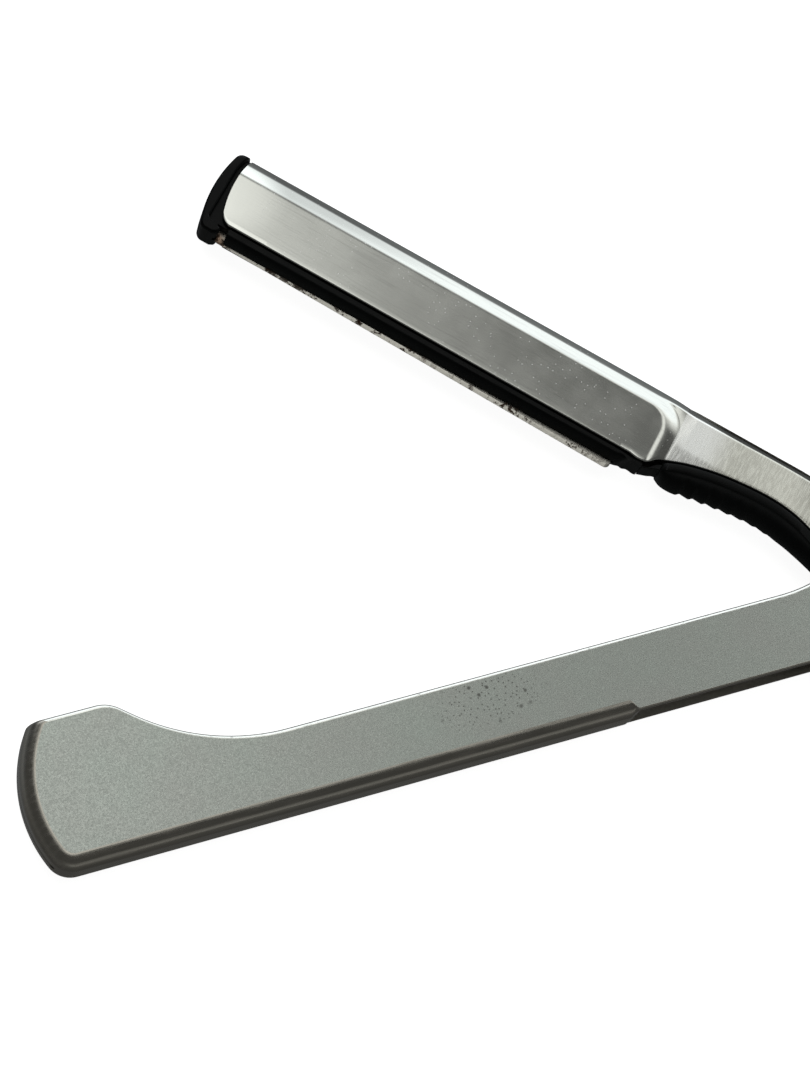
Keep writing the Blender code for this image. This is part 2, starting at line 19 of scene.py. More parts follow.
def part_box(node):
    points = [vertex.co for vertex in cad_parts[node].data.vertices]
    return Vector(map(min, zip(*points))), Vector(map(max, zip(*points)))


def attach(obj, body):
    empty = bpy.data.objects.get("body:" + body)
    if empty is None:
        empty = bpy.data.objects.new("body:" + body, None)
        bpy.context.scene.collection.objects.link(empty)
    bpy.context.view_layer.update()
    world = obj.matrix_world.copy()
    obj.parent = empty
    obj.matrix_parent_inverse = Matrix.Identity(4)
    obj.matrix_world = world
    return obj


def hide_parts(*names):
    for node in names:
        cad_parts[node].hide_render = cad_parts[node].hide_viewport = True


bl_info = {
    "name": "Folding Razor",
    "version": (1, 0, 0),
    "blender": (4, 5, 0),
    "location": "View3D > Sidebar > Razor",
    "description": "Builds the visible pieces, finishes and stage of a folding barber's razor",
    "category": "Add Mesh",
}

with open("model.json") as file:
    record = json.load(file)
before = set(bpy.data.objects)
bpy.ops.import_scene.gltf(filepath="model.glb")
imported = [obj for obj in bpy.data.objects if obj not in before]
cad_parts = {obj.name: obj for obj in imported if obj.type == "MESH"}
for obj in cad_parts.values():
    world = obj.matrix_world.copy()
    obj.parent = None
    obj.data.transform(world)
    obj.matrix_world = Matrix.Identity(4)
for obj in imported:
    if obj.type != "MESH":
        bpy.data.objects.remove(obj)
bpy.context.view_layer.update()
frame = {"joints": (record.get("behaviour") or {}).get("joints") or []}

MM = 0.001
HINGE = next(joint for joint in frame["joints"] if joint["name"] == "head_hinge")
OPEN_ANGLE = math.radians(HINGE["range_deg"][0])

# Handle, from the frame
HANDLE_LOW, HANDLE_HIGH = (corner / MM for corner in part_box("handle_shell"))
MID_Z = HANDLE_HIGH.z / 2
BACK_Y = HANDLE_LOW.y
HUMP_Y = HANDLE_HIGH.y
LOBE_RADIUS = HANDLE_HIGH.x
PLATE_Y = -LOBE_RADIUS
END_RADIUS = 18.7
END_CENTRE = (HANDLE_LOW.x + END_RADIUS, 0.72)
TOP_Y = 1.97
SHEET = 0.7
SLOT_X = -44.0
STEP_RUN = 1.0
LOBE_BLEND_X = -18.78
END_TOP_CORNER = 1.0
END_LOW_CORNER = 3.5
HUMP_CORNER_X = -99.98
HUMP_SLOPE = math.radians(41.0)
HUMP_HOLLOW_RADIUS = 28.7
HUMP_ROUND_RADIUS = 4.5
SEAM_X = -117.0
SEAM_DROP = 1.9
RELIEF_RADIUS = 0.45

# Pivot, from the frame
RIVET_HEAD_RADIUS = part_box("pivot_rivet")[1].x / MM
WASHER_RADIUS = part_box("washer_lower")[1].x / MM
BUSH_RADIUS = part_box("pivot_bush")[1].x / MM
SEAT_RADIUS = RIVET_HEAD_RADIUS + 0.2
SEAT_DEPTH = 0.45
RIVET_HEAD = 0.35
RIVET_RADIUS = 1.4
PLATE_HOLE_RADIUS = 1.6
TANG_HOLE_RADIUS = BUSH_RADIUS + 0.15
PLAY = 0.12

# Head, in its folded place: the tip towards -X, the spine towards +Y
SPINE_Y = 7.22
TANG_HALF = 1.75
FACE_HALF = 2.35
HEAD_SHEET = 0.5
BEND_X = -24.0
HEEL_X = -41.5
SPINE_RUN = 1.3
SPINE_ROUND = SPINE_RUN * 1.2
BEVEL_RUN = 1.8
FACE_END_X = -36.6
HEEL_RUN = 1.9
FACE_CORNER = 1.6
SHANK_TAPER = 0.42
TAPER_FROM_X, TAPER_FROM_RUN = -39.0, 4.0
TAPER_TO_X, TAPER_TO_RUN = -8.0, 12.0
TAPER_DEPTH = 5.5
SPINE_CHANGE_X, SPINE_CHANGE_RUN = -45.0, 14.0
CHANNEL_TOP = 0.9
TIP_ARC_CENTRE = (-88.2, 2.9)
TIP_ARC_RADIUS = 18.0
TIP_CURVE_X = -99.0
LOW_TIP_Y = -3.7
LOW_HEEL_Y = -4.0
TIP_CORNER = 1.2
GRIP_PIN = (-11.6, 0.2)
GRIP_PIN_RADIUS = 0.6
GRIP_PIN_HOLE = GRIP_PIN_RADIUS + 0.18

# Thumb rest
GRIP_HALF = 2.3
GRIP_TENON_HALF = 1.05
GRIP_TENON_HIGH = 2.6
GRIP_GAP = 0.5
GRIP_BAND = 1.25
NOSE_X = -36.7
NOSE_RUN = 1.6
NOSE_NARROW = 0.62
RIB_PITCH = 1.9
RIB_START_X = -33.1
RIB_FALL = 0.34

# Blade and carrier
CARRIER_HALF = 1.6
CARRIER_HEEL_X = -39.2
GUARD_HALF = 1.95
GUARD_TOP_Y = LOW_HEEL_Y - 0.25
GUARD_Y = SPINE_Y - 12.9
GUARD_TIP_X = -103.5
GUARD_TIP_TOP = LOW_TIP_Y - 0.25
GUARD_LIFT = 0.12
GUARD_ROUND = 0.95
ROUND_FROM_Z = 0.4
CAP_INNER_X = -107.0
CAP_ARC_CENTRE = (-88.82, 1.0)
CAP_ARC_RADIUS = 19.7
CAP_LOW_Y = SPINE_Y - 12.95
CAP_CORNER = 1.2
CAP_HALF = 2.3
CAP_EDGE = 0.42
CAP_FALL = 0.5
NECK_FALL = 1.0
CROWN_REACH, CROWN_MOST = 1.4, 0.55
CROWN_FROM_Y, CROWN_RUN = 3.0, 3.0
FOOT_REACH = 2.2
FOOT_CORNER = 0.7
NECK_HALF = 1.6
BLADE_LENGTH = 62.0
BLADE_HEIGHT = 8.4
BLADE_THICK = 0.25
BLADE_TIP_X = -104.9
BLADE_EDGE_TIP_Y = SPINE_Y - 13.05
BLADE_EDGE_HEEL_Y = SPINE_Y - 14.05
BLADE_CORNER = 0.7
BLADE_ROOM = 0.25
BLADE_SLOT_HALF = 0.3

BEYOND = 12.0


# ------------------------------------------------------------------ settings

def length_property(name, description, default, low, high):
    """A property for a length in metres."""
    return FloatProperty(name=name, description=description, default=default, min=low, max=high,
                         unit="LENGTH")


def roughness_property(name, description, default, low):
    """A property for how matt a finish is."""
    return FloatProperty(name=name, description=description, default=default, min=low, max=1.0,
                         subtype="FACTOR")


def colour_property(name, description, default):
    """A property for a finish's colour."""
    return FloatVectorProperty(name=name, description=description, default=default, size=3,
                               min=0.0, max=1.0, subtype="COLOR")


class RazorSizes(PropertyGroup):
    """Small sizes of the visible pieces that a user may want to change."""

    rim_width: length_property(
        "Rim Width", "Width of the polished rounding along the handle's open edges", 0.00055, 0.0001, 0.001)
    rim_depth: length_property(
        "Rim Depth", "Depth of that rounding through the sheet", 0.00042, 0.0001, 0.0006)
    fold_radius: length_property(
        "Fold Radius", "Outside radius of the handle's folded back", 0.002, 0.001, 0.003)
    seam_gap: length_property(
        "Seam Gap", "Gap between the two flanges that close the handle's end", 0.0003, 0.0001, 0.001)
    rib_depth: length_property("Rib Depth", "Depth of the thumb rest's ribs", 0.0004, 0.0, 0.0006)
    rib_count: IntProperty(
        name="Ribs", description="Number of ribs on the thumb rest", default=8, min=2, max=9)


class RazorFinish(PropertyGroup):
    """Colours and roughness of the finishes."""

    satin: colour_property("Satin Steel", "Colour of the bead-blasted handle", (0.50, 0.565, 0.515))
    satin_roughness: roughness_property("Satin Roughness", "Roughness of the handle's flat faces", 0.27, 0.05)
    polished: colour_property("Polished Steel", "Colour of the head", (0.80, 0.815, 0.77))
    polished_roughness: roughness_property("Polished Roughness", "Roughness of the head", 0.13, 0.02)
    plastic: colour_property(
        "Black Plastic", "Colour of the thumb rest and the carrier", (0.0022, 0.0028, 0.0028))
    blade: colour_property("Blade Steel", "Colour of the blade between its rust specks", (0.66, 0.645, 0.59))
    # The rust colour also tints the painted shade at the blade's tip corner.
    rust: colour_property("Rust", "Colour of the rust specks on the blade", (0.12, 0.062, 0.03))
    bronze: colour_property("Bronze", "Colour of the washers and the bush", (0.62, 0.42, 0.20))


# ------------------------------------------------------------------ outlines

def arc(centre, radius, start, end, steps):
    """Points on a circle from one angle to another, both ends included."""
    return [(centre[0] + radius * math.cos(start + (end - start) * i / steps),
             centre[1] + radius * math.sin(start + (end - start) * i / steps))
            for i in range(steps + 1)]


def rounded_corner(before, corner, after, radius, steps):
    """The arc that rounds a corner of an outline."""
    corner = Vector(corner)
    back = (Vector(before) - corner).normalized()
    ahead = (Vector(after) - corner).normalized()
    half = back.angle(ahead) / 2
    centre = corner + (back + ahead).normalized() * radius / math.sin(half)
    reach = radius / math.tan(half)
    first = corner + back * reach - centre
    turn = first.angle_signed(corner + ahead * reach - centre)
    start = math.atan2(first.y, first.x)
    return arc(centre, radius, start, start - turn, steps)


def end_wall(centre, radius, high_y, high_corner, low_y, low_corner, steps):
    """A bulging end: an upper corner, a long arc and a lower corner, all tangent."""
    ends = []
    for y, corner, side in ((high_y, high_corner, -1), (low_y, low_corner, 1)):
        corner_y = y + side * corner
        across = math.sqrt((radius - corner) ** 2 - (corner_y - centre[1]) ** 2)
        angle = math.atan2(corner_y - centre[1], -across) % (2 * math.pi)
        ends.append(((centre[0] - across, corner_y), corner, angle))
    (high, high_radius, high_angle), (low, low_radius, low_angle) = ends
    points = arc(high, high_radius, math.radians(90), high_angle, steps // 3)
    points += arc(centre, radius, high_angle, low_angle, steps)[1:-1]
    return points + arc(low, low_radius, low_angle, math.radians(270), steps // 3)


def smooth_through(points, steps):
    """A smooth curve through the given points (Catmull-Rom)."""
    ends = [Vector(p) for p in points]
    ends = [2 * ends[0] - ends[1]] + ends + [2 * ends[-1] - ends[-2]]
    curve = []
    for a, b, c, d in zip(ends, ends[1:], ends[2:], ends[3:]):
        for i in range(steps):
            t = i / steps
            curve.append(0.5 * (2 * b + (c - a) * t + (2 * a - 5 * b + 4 * c - d) * t ** 2
                                + (3 * b - a - 3 * c + d) * t ** 3))
    curve.append(ends[-2])
    return [(p.x, p.y) for p in curve]


def height_on(curve, x):
    """The y of a curve at x. The curve's points run in either direction along X."""
    for (x0, y0), (x1, y1) in zip(curve, curve[1:]):
        if min(x0, x1) <= x <= max(x0, x1):
            return y0 + (y1 - y0) * (x - x0) / (x1 - x0)
    raise ValueError("x lies outside the curve")


def ease(t):
    """0 before 0, 1 after 1, and a smooth step between."""
    t = min(max(t, 0.0), 1.0)
    return t * t * (3 - 2 * t)


def quarter_turn(steps):
    """Angles from 0 to 90 degrees, both ends included."""
    return [math.radians(90) * i / steps for i in range(steps + 1)]


def draw_in(width, depth, below):
    """How far a quarter-round edge of a width and depth draws in, this far below its face."""
    if below >= depth:
        return 0.0
    return width * (1 - math.sqrt(1 - ((depth - below) / depth) ** 2))


def spread(*stretches):
    """Stations along a line: each stretch is (start, end, step), and each ends the last."""
    stations = []
    for start, end, step in stretches:
        count = max(1, round(abs(end - start) / step))
        stations += [start + (end - start) * i / count for i in range(count)]
    return stations + [stretches[-1][1]]


# ------------------------------------------------------------------ mesh builders

def in_handle():
    """Places a piece built about the middle plane in the handle's frame."""
    return Matrix.Translation((0, 0, MID_Z * MM))


def in_head():
    """Places a piece built in the folded position at the head's rest angle."""
    return in_handle() @ Matrix.Rotation(OPEN_ANGLE, 4, "Z")


def add_object(name, work, place, finishes=()):
    """Put a bmesh, built in millimetres, in the scene as an object in metres."""
    if work.faces:
        bmesh.ops.recalc_face_normals(work, faces=work.faces)
    bmesh.ops.scale(work, vec=(MM, MM, MM), verts=work.verts)
    mesh = bpy.data.meshes.new(name)
    work.to_mesh(mesh)
    work.free()
    for finish in finishes:
        mesh.materials.append(finish)
    made = bpy.data.objects.new(name, mesh)
    bpy.context.scene.collection.objects.link(made)
    made.matrix_world = place
    return made


def loft(sections, paint=None, closed=True):
    """A surface through sections of equal length. paint(i, j) picks a face's finish."""
    work = bmesh.new()
    rings = [[work.verts.new(point) for point in section] for section in sections]
    if closed:
        work.faces.new(rings[0])
        work.faces.new(rings[-1])
    for i, (low, high) in enumerate(zip(rings, rings[1:])):
        for j in range(len(low)):
            k = (j + 1) % len(low)
            face = work.faces.new((low[j], low[k], high[k], high[j]))
            if paint:
                face.material_index = paint(i, j)
    return work


def stack(levels, paint=None):
    """A loft through outlines that lie flat, each at its own height."""
    return loft([[(x, y, z) for x, y in outline] for z, outline in levels], paint)


def both_sides(half_levels):
    """Levels given for one side of the middle plane, made symmetric about it."""
    return [(-half, outline) for half, outline in reversed(half_levels)] + list(half_levels)


def prism(outline, low, high):
    """A flat outline extruded from one height to another."""
    work = bmesh.new()
    base = work.faces.new([work.verts.new((x, y, low)) for x, y in outline])
    raised = bmesh.ops.extrude_face_region(work, geom=[base], use_keep_orig=True)["geom"]
    corners = [part for part in raised if isinstance(part, bmesh.types.BMVert)]
    bmesh.ops.translate(work, vec=(0, 0, high - low), verts=corners)
    return work


def rod(radius, low, high, place=(0.0, 0.0), segments=48):
    """A round rod that stands along Z."""
    work = bmesh.new()
    at = Matrix.Translation((*place, (low + high) / 2))
    bmesh.ops.create_cone(work, cap_ends=True, segments=segments, radius1=radius, radius2=radius,
                          depth=high - low, matrix=at)
    return work


def turned(profile, steps=96):
    """A profile of (radius, z) points turned about the Z axis."""
    work = bmesh.new()
    line = [work.verts.new((radius, 0, z)) for radius, z in profile]
    edges = [work.edges.new(pair) for pair in zip(line, line[1:])]
    bmesh.ops.spin(work, geom=line + edges, axis=(0, 0, 1), cent=(0, 0, 0), steps=steps,
                   angle=2 * math.pi, use_merge=True)
    bmesh.ops.remove_doubles(work, verts=work.verts, dist=0.0005)
    return work


def cut(target, work, operation="DIFFERENCE"):
    """Boolean a tool, given as a bmesh in millimetres, with a piece. The tool doesn't stay."""
    tool = add_object(target.name + "_tool", work, target.matrix_world.copy(), target.data.materials)
    step = target.modifiers.new("shape", "BOOLEAN")
    step.operation = operation
    step.solver = "EXACT"
    step.object = tool
    settle(target)
    bpy.data.objects.remove(tool, do_unlink=True)


def settle(piece):
    """Apply a piece's modifiers to its mesh."""
    bpy.context.view_layer.update()
    seen = piece.evaluated_get(bpy.context.evaluated_depsgraph_get())
    mesh = bpy.data.meshes.new_from_object(seen)
    piece.modifiers.clear()
    piece.data = mesh


def finish_piece(piece, body, slot, *nodes, sharp=28.0):
    """Shade a piece smooth between its creases, and tie it to the frame."""
    piece.data.shade_smooth()
    piece.data.set_sharp_from_angle(angle=math.radians(sharp))
    weights = piece.modifiers.new("even_faces", "WEIGHTED_NORMAL")
    weights.keep_sharp = True
    weights.weight = 100
    settle(piece)
    place = piece.matrix_world.copy()
    piece.data.transform(place.to_3x3().to_4x4())
    piece.matrix_world = Matrix.Translation(place.translation)
    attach(piece, body)
    if nodes:
        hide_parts(*nodes)


def painted(work, index):
    """Give every face of a bmesh one finish."""
    for face in work.faces:
        face.material_index = index
    return work


# ------------------------------------------------------------------ finishes

class Nodes:
    """A node tree, with short ways to add nodes, join them and work with their values."""

    def __init__(self, tree):
        self.tree = tree

    def add(self, kind, **settings):
        """A new node, with any of its own settings."""
        made = self.tree.nodes.new(kind)
        for name, value in settings.items():
            setattr(made, name, value)
        return made

    def join(self, source, target):
        """A link from an output to an input."""
        self.tree.links.new(source, target)

    def between(self, value, low, high, to_low, to_high):
        """Map a value's range to another one, with a smooth step, and clamp it."""
        made = self.add("ShaderNodeMapRange", interpolation_type="SMOOTHSTEP")
        self.join(value, made.inputs["Value"])
        for socket, number in zip(("From Min", "From Max", "To Min", "To Max"),
                                  (low, high, to_low, to_high)):
            made.inputs[socket].default_value = number
        return made.outputs["Result"]

    def maths(self, operation, first, second):
        """A sum on two values, each a number or another node's output."""
        made = self.add("ShaderNodeMath", operation=operation)
        for socket, value in zip(made.inputs, (first, second)):
            if isinstance(value, float):
                socket.default_value = value
            else:
                self.join(value, socket)
        return made.outputs["Value"]

    def times(self, first, second):
        """One value multiplied by another."""
        return self.maths("MULTIPLY", first, second)

    def blend(self, amount, first, second):
        """Mix two colours, each a colour or another node's output."""
        made = self.add("ShaderNodeMix", data_type="RGBA")
        self.join(amount, made.inputs["Factor"])
        for socket, value in ((made.inputs[6], first), (made.inputs[7], second)):
            if isinstance(value, tuple):
                socket.default_value = (*value, 1.0)
            else:
                self.join(value, socket)
        return made.outputs[2]


class Finish(Nodes):
    """A material under construction. turn is its piece's angle, which its patterns then follow."""

    def __init__(self, name, colour, roughness, metallic, turn=0.0):
        self.material = bpy.data.materials.new(name)
        self.material.use_nodes = True
        super().__init__(self.material.node_tree)
        self.shader = self.tree.nodes["Principled BSDF"]
        self.shader.inputs["Base Color"].default_value = (*colour, 1.0)
        self.shader.inputs["Roughness"].default_value = roughness
        self.shader.inputs["Metallic"].default_value = metallic
        self.place = self.add("ShaderNodeTexCoord").outputs["Object"]
        if turn:
            along = self.add("ShaderNodeMapping")
            along.inputs["Rotation"].default_value = (0.0, 0.0, -turn)
            self.join(self.place, along.inputs["Vector"])
            self.place = along.outputs["Vector"]

    def stretched(self, scale):
        """Object coordinates scaled unevenly, for grain that runs one way."""
        mapping = self.add("ShaderNodeMapping")
        mapping.inputs["Scale"].default_value = scale
        self.join(self.place, mapping.inputs["Vector"])
        return mapping.outputs["Vector"]

    def noise(self, size_mm, detail=3.0, place=None, roughness=0.55):
        """Noise whose lumps are about this size."""
        made = self.add("ShaderNodeTexNoise")
        made.inputs["Scale"].default_value = 1.0 / (size_mm * MM)
        made.inputs["Detail"].default_value = detail
        made.inputs["Roughness"].default_value = roughness
        self.join(place or self.place, made.inputs["Vector"])
        return made.outputs["Fac"]

    def spots(self, spacing_mm, radius, soft, share):
        """Round spots scattered one to a cell, in a share of the cells. 1 inside a spot."""
        cells = self.add("ShaderNodeTexVoronoi", voronoi_dimensions="2D")
        cells.inputs["Scale"].default_value = 1.0 / (spacing_mm * MM)
        self.join(self.place, cells.inputs["Vector"])
        inside = self.between(cells.outputs["Distance"], radius, radius * soft, 0.0, 1.0)
        chance = self.add("ShaderNodeSeparateColor")
        self.join(cells.outputs["Color"], chance.inputs["Color"])
        picked = self.maths("LESS_THAN", chance.outputs["Red"], share)
        return self.times(inside, picked)

    def bump(self, height, depth_mm, strength=1.0):
        """Relief from a value, this deep where it goes from 0 to 1."""
        made = self.add("ShaderNodeBump")
        made.inputs["Strength"].default_value = strength
        made.inputs["Distance"].default_value = depth_mm * MM
        self.join(height, made.inputs["Height"])
        self.join(made.outputs["Normal"], self.shader.inputs["Normal"])

    def near(self, centre_mm, reach_mm):
        """1 at a place on the piece, falling smoothly to 0 at an ellipsoid's edge."""
        mapping = self.add("ShaderNodeMapping")
        mapping.inputs["Scale"].default_value = tuple(1.0 / (r * MM) for r in reach_mm)
        mapping.inputs["Location"].default_value = tuple(-c / r for c, r in zip(centre_mm, reach_mm))
        self.join(self.place, mapping.inputs["Vector"])
        length = self.add("ShaderNodeVectorMath", operation="LENGTH")
        self.join(mapping.outputs["Vector"], length.inputs[0])
        return self.between(length.outputs["Value"], 0.4, 1.0, 1.0, 0.0)

    def use(self, socket, value):
        """Feed an input of the shader."""
        self.join(value, self.shader.inputs[socket])

    def follow(self, pattern, colour, smooth, rough, depth_mm, strength):
        """Set the colour, and let the roughness and the relief follow a pattern."""
        self.use("Base Color", colour)
        self.use("Roughness", self.between(pattern, 0.3, 0.7, smooth, rough))
        self.bump(pattern, depth_mm, strength)
        return self.material


def shade(colour, factor):
    """A colour made lighter or darker."""
    return tuple(min(part * factor, 1.0) for part in colour)


def satin_steel(settings):
    """Bead-blasted sheet: a fine mottled grain with painted glints, soft clouds and a few dark pits."""
    made = Finish("satin_steel_face", settings.satin, settings.satin_roughness, 1.0)
    grain = made.noise(0.20, 5.0, roughness=0.7)
    clouds = made.noise(9.0, 3.0)
    # Painted glints: bright specks painted into the base colour as highlights.
    painted_glint = made.between(made.noise(0.42, 4.0, roughness=0.75), 0.58, 0.74, 0.0, 0.45)
    light = made.blend(clouds, shade(settings.satin, 1.14), (0.565, 0.575, 0.545))
    dark = made.blend(clouds, shade(settings.satin, 0.86), (0.44, 0.45, 0.425))
    mottled = made.blend(made.between(grain, 0.34, 0.66, 0.0, 1.0), dark, light)
    surface = made.blend(painted_glint, mottled, shade(settings.satin, 1.5))
    pits = made.maths("MAXIMUM", made.spots(0.80, 0.19, 0.3, 0.8), made.spots(2.4, 0.15, 0.3, 0.7))
    marked = made.times(pits, made.near((-62.5, -1.4, MID_Z), (10.0, 5.0, 1.2)))
    pitted = made.blend(made.times(marked, 0.85), surface, (0.13, 0.13, 0.12))
    matt = settings.satin_roughness
    return made.follow(grain, pitted, matt + 0.05, matt - 0.04, 0.009, 0.7)


def folded_steel():
    """The same sheet where it is folded: drawn smooth, with faint lines along the bend."""
    warm = (0.52, 0.50, 0.445)
    made = Finish("satin_steel_fold", warm, 0.24, 1.0)
    lines = made.noise(0.5, 2.0, made.stretched((0.08, 1.0, 1.0)))
    drawn = made.blend(lines, shade(warm, 0.85), shade(warm, 1.2))
    return made.follow(lines, drawn, 0.20, 0.30, 0.004, 0.5)


def rim_steel(settings):
    """Polished edges of the handle's plates, with small nicks."""
    made = Finish("polished_rim", shade(settings.polished, 1.1), 0.19, 1.0)
    nicks = made.noise(0.6, 3.0)
    made.use("Base Color", made.blend(made.between(nicks, 0.62, 0.72, 0.0, 1.0),
                                      shade(settings.polished, 1.2), shade(settings.polished, 0.8)))
    made.use("Roughness", made.between(nicks, 0.35, 0.7, 0.15, 0.27))
    made.bump(nicks, 0.006, 0.5)
    return made.material


def inner_steel(settings):
    """Unfinished inside of the folded sheets: darker, rougher, with a rolled grain."""
    made = Finish("inner_steel", shade(settings.satin, 0.7), 0.5, 1.0)
    grain = made.noise(0.8, 3.0, made.stretched((0.12, 1.0, 1.0)))
    rolled = made.blend(grain, (0.30, 0.285, 0.24), (0.48, 0.465, 0.42))
    return made.follow(grain, rolled, 0.45, 0.7, 0.01, 0.5)


def polished_steel(settings):
    """Polished sheet with haze, hairline scratches along the blade and small bright marks, with painted shade
    darkening the bevel towards the tip and a painted highlight on the face by the tip.
    """
    low = settings.polished_roughness
    made = Finish("polished_steel_face", settings.polished, low, 1.0, OPEN_ANGLE)
    haze = made.noise(5.0, 3.0)
    hairs = made.noise(0.30, 2.0, made.stretched((0.05, 1.0, 1.0)))
    across = made.noise(0.40, 2.0, made.stretched((1.0, 0.10, 1.0)))
    surface = made.blend(haze, shade(settings.polished, 0.96), shade(settings.polished, 1.03))
    worn = made.blend(made.between(hairs, 0.50, 0.72, 0.0, 0.5), surface, shade(settings.polished, 0.84))
    marks = made.times(made.spots(1.0, 0.08, 0.4, 0.45), made.between(haze, 0.42, 0.58, 0.1, 0.7))
    # Painted shade: the bevel and spine are darkened towards the tip. From here on worn holds the scratches
    # and this painted shade.
    bevel_painted_shade = made.near((TIP_X, SPINE_Y - 1.7, 1.5), (36.0, 2.3, 9.0))
    worn = made.blend(bevel_painted_shade, worn, shade(settings.polished, 0.66))
    # Painted highlight: the face is lightened by the tip. Worn now also holds this painted highlight.
    tip_painted_highlight = made.near((TIP_X, 1.0, 2.0), (9.0, 7.0, 9.0))
    worn = made.blend(tip_painted_highlight, worn, shade(settings.polished, 1.2))
    made.use("Base Color", made.blend(marks, worn, (0.93, 0.94, 0.93)))
    rough = made.between(haze, 0.3, 0.75, low - 0.01, low + 0.03)
    made.use("Roughness", made.maths("ADD", rough, made.times(marks, 0.45)))
    grain = made.maths("ADD", hairs, made.times(across, 0.6))
    made.bump(grain, 0.0016, 0.5)
    return made.material


def shank_steel(settings):
    """The head's shank and tail: the same sheet, brushed across instead of polished, with a painted highlight
    where the shank leaves the heel.
    """
    made = Finish("brushed_shank", settings.polished, 0.24, 1.0, OPEN_ANGLE)
    brush = made.noise(0.22, 3.0, made.stretched((1.0, 0.12, 1.0)))
    tone = made.noise(4.0, 3.0)
    warm = (0.80, 0.80, 0.72)
    light = made.blend(tone, shade(warm, 0.92), shade(warm, 1.05))
    brushed = made.blend(made.between(brush, 0.35, 0.65, 0.0, 1.0), shade(warm, 0.76), light)
    # Painted highlight: the shank is lightened to near white where it leaves the heel.
    bright = made.near((SHANK_X, 3.0, TANG_HALF), (9.0, 14.0, 9.0))
    return made.follow(brush, made.blend(bright, brushed, (0.97, 0.98, 0.95)), 0.20, 0.30, 0.003, 0.6)


def spine_steel():
    """The narrow back of the shank, dulled and stained by handling."""
    made = Finish("stained_spine", (0.50, 0.46, 0.38), 0.24, 1.0, OPEN_ANGLE)
    stain = made.noise(1.6, 3.0, made.stretched((0.25, 1.0, 1.0)))
    brown = made.blend(stain, (0.17, 0.165, 0.15), (0.32, 0.32, 0.295))
    # Near the heel end the spine's brown is blended to a lighter grey.
    lighter_near_heel = made.near((SHANK_X, SPINE_Y, 0.0), (7.0, 12.0, 9.0))
    return made.follow(stain, made.blend(lighter_near_heel, brown, (0.46, 0.465, 0.44)), 0.18, 0.32, 0.003, 0.4)


def black_plastic(settings, name, roughness, grain_mm):
    """Moulded black plastic with a fine texture and handling shine."""
    made = Finish(name, settings.plastic, roughness, 0.0)
    made.shader.inputs["Specular IOR Level"].default_value = 0.15
    grain = made.noise(grain_mm, 3.0)
    worn = made.noise(4.0, 2.0)
    made.use("Base Color", made.blend(worn, shade(settings.plastic, 0.7), shade(settings.plastic, 1.5)))
    made.use("Roughness", made.between(worn, 0.35, 0.65, roughness - 0.07, roughness + 0.08))
    made.bump(grain, 0.010, 0.45)
    return made.material


def blade_steel(settings):
    """Thin hardened strip with a bright ground edge and brown rust specks, and painted shade darkening its
    tip corner towards a rust brown.
    """
    made = Finish("blade_steel_face", settings.blade, 0.28, 1.0, OPEN_ANGLE)
    grind = made.noise(0.25, 2.0, made.stretched((1.0, 0.08, 1.0)))
    bright = made.blend(grind, shade(settings.blade, 0.8), shade(settings.blade, 1.2))
    patches = made.between(made.noise(1.3, 4.0, roughness=0.7), 0.50, 0.60, 0.0, 1.0)
    rusty = made.times(patches, made.between(made.noise(7.0, 2.0), 0.38, 0.58, 0.0, 1.0))
    # Painted shade: the tip corner is darkened towards a rust brown. The brown tint is the corner's own; the
    # darkness is painted shade.
    corner = made.near((BLADE_TIP_X, BLADE_EDGE_TIP_Y, 0.0), (2.4, 2.4, 1.0))
    stained = made.blend(made.times(corner, 0.8), bright, shade(settings.rust, 1.6))
    made.use("Base Color", made.blend(rusty, stained, tuple(settings.rust)))
    made.use("Roughness", made.between(rusty, 0.0, 1.0, 0.26, 0.75))
    made.use("Metallic", made.between(rusty, 0.2, 1.0, 1.0, 0.15))
    made.bump(patches, 0.012, 0.5)
    return made.material


def turned_metal(name, colour, roughness):
    """A small turned or peened piece, with rings left by the tool."""
    made = Finish(name, colour, roughness, 1.0)
    rings = made.add("ShaderNodeTexWave", wave_type="RINGS", rings_direction="Z")
    rings.inputs["Scale"].default_value = 1.0 / (0.9 * MM)
    rings.inputs["Distortion"].default_value = 1.2
    made.join(made.place, rings.inputs["Vector"])
    stain = made.noise(1.5, 3.0)
    made.use("Base Color", made.blend(stain, shade(colour, 0.75), shade(colour, 1.1)))
    made.use("Roughness", made.between(stain, 0.3, 0.7, roughness - 0.06, roughness + 0.12))
    made.bump(rings.outputs["Fac"], 0.006, 0.35)
    return made.material


def finish_for(name, make):
    """A finish by name, made the first time it is asked for."""
    return bpy.data.materials.get(name) or make()


# ------------------------------------------------------------------ handle

FOLDED_EDGE, OPEN_EDGE, INSIDE = 1, 2, 3


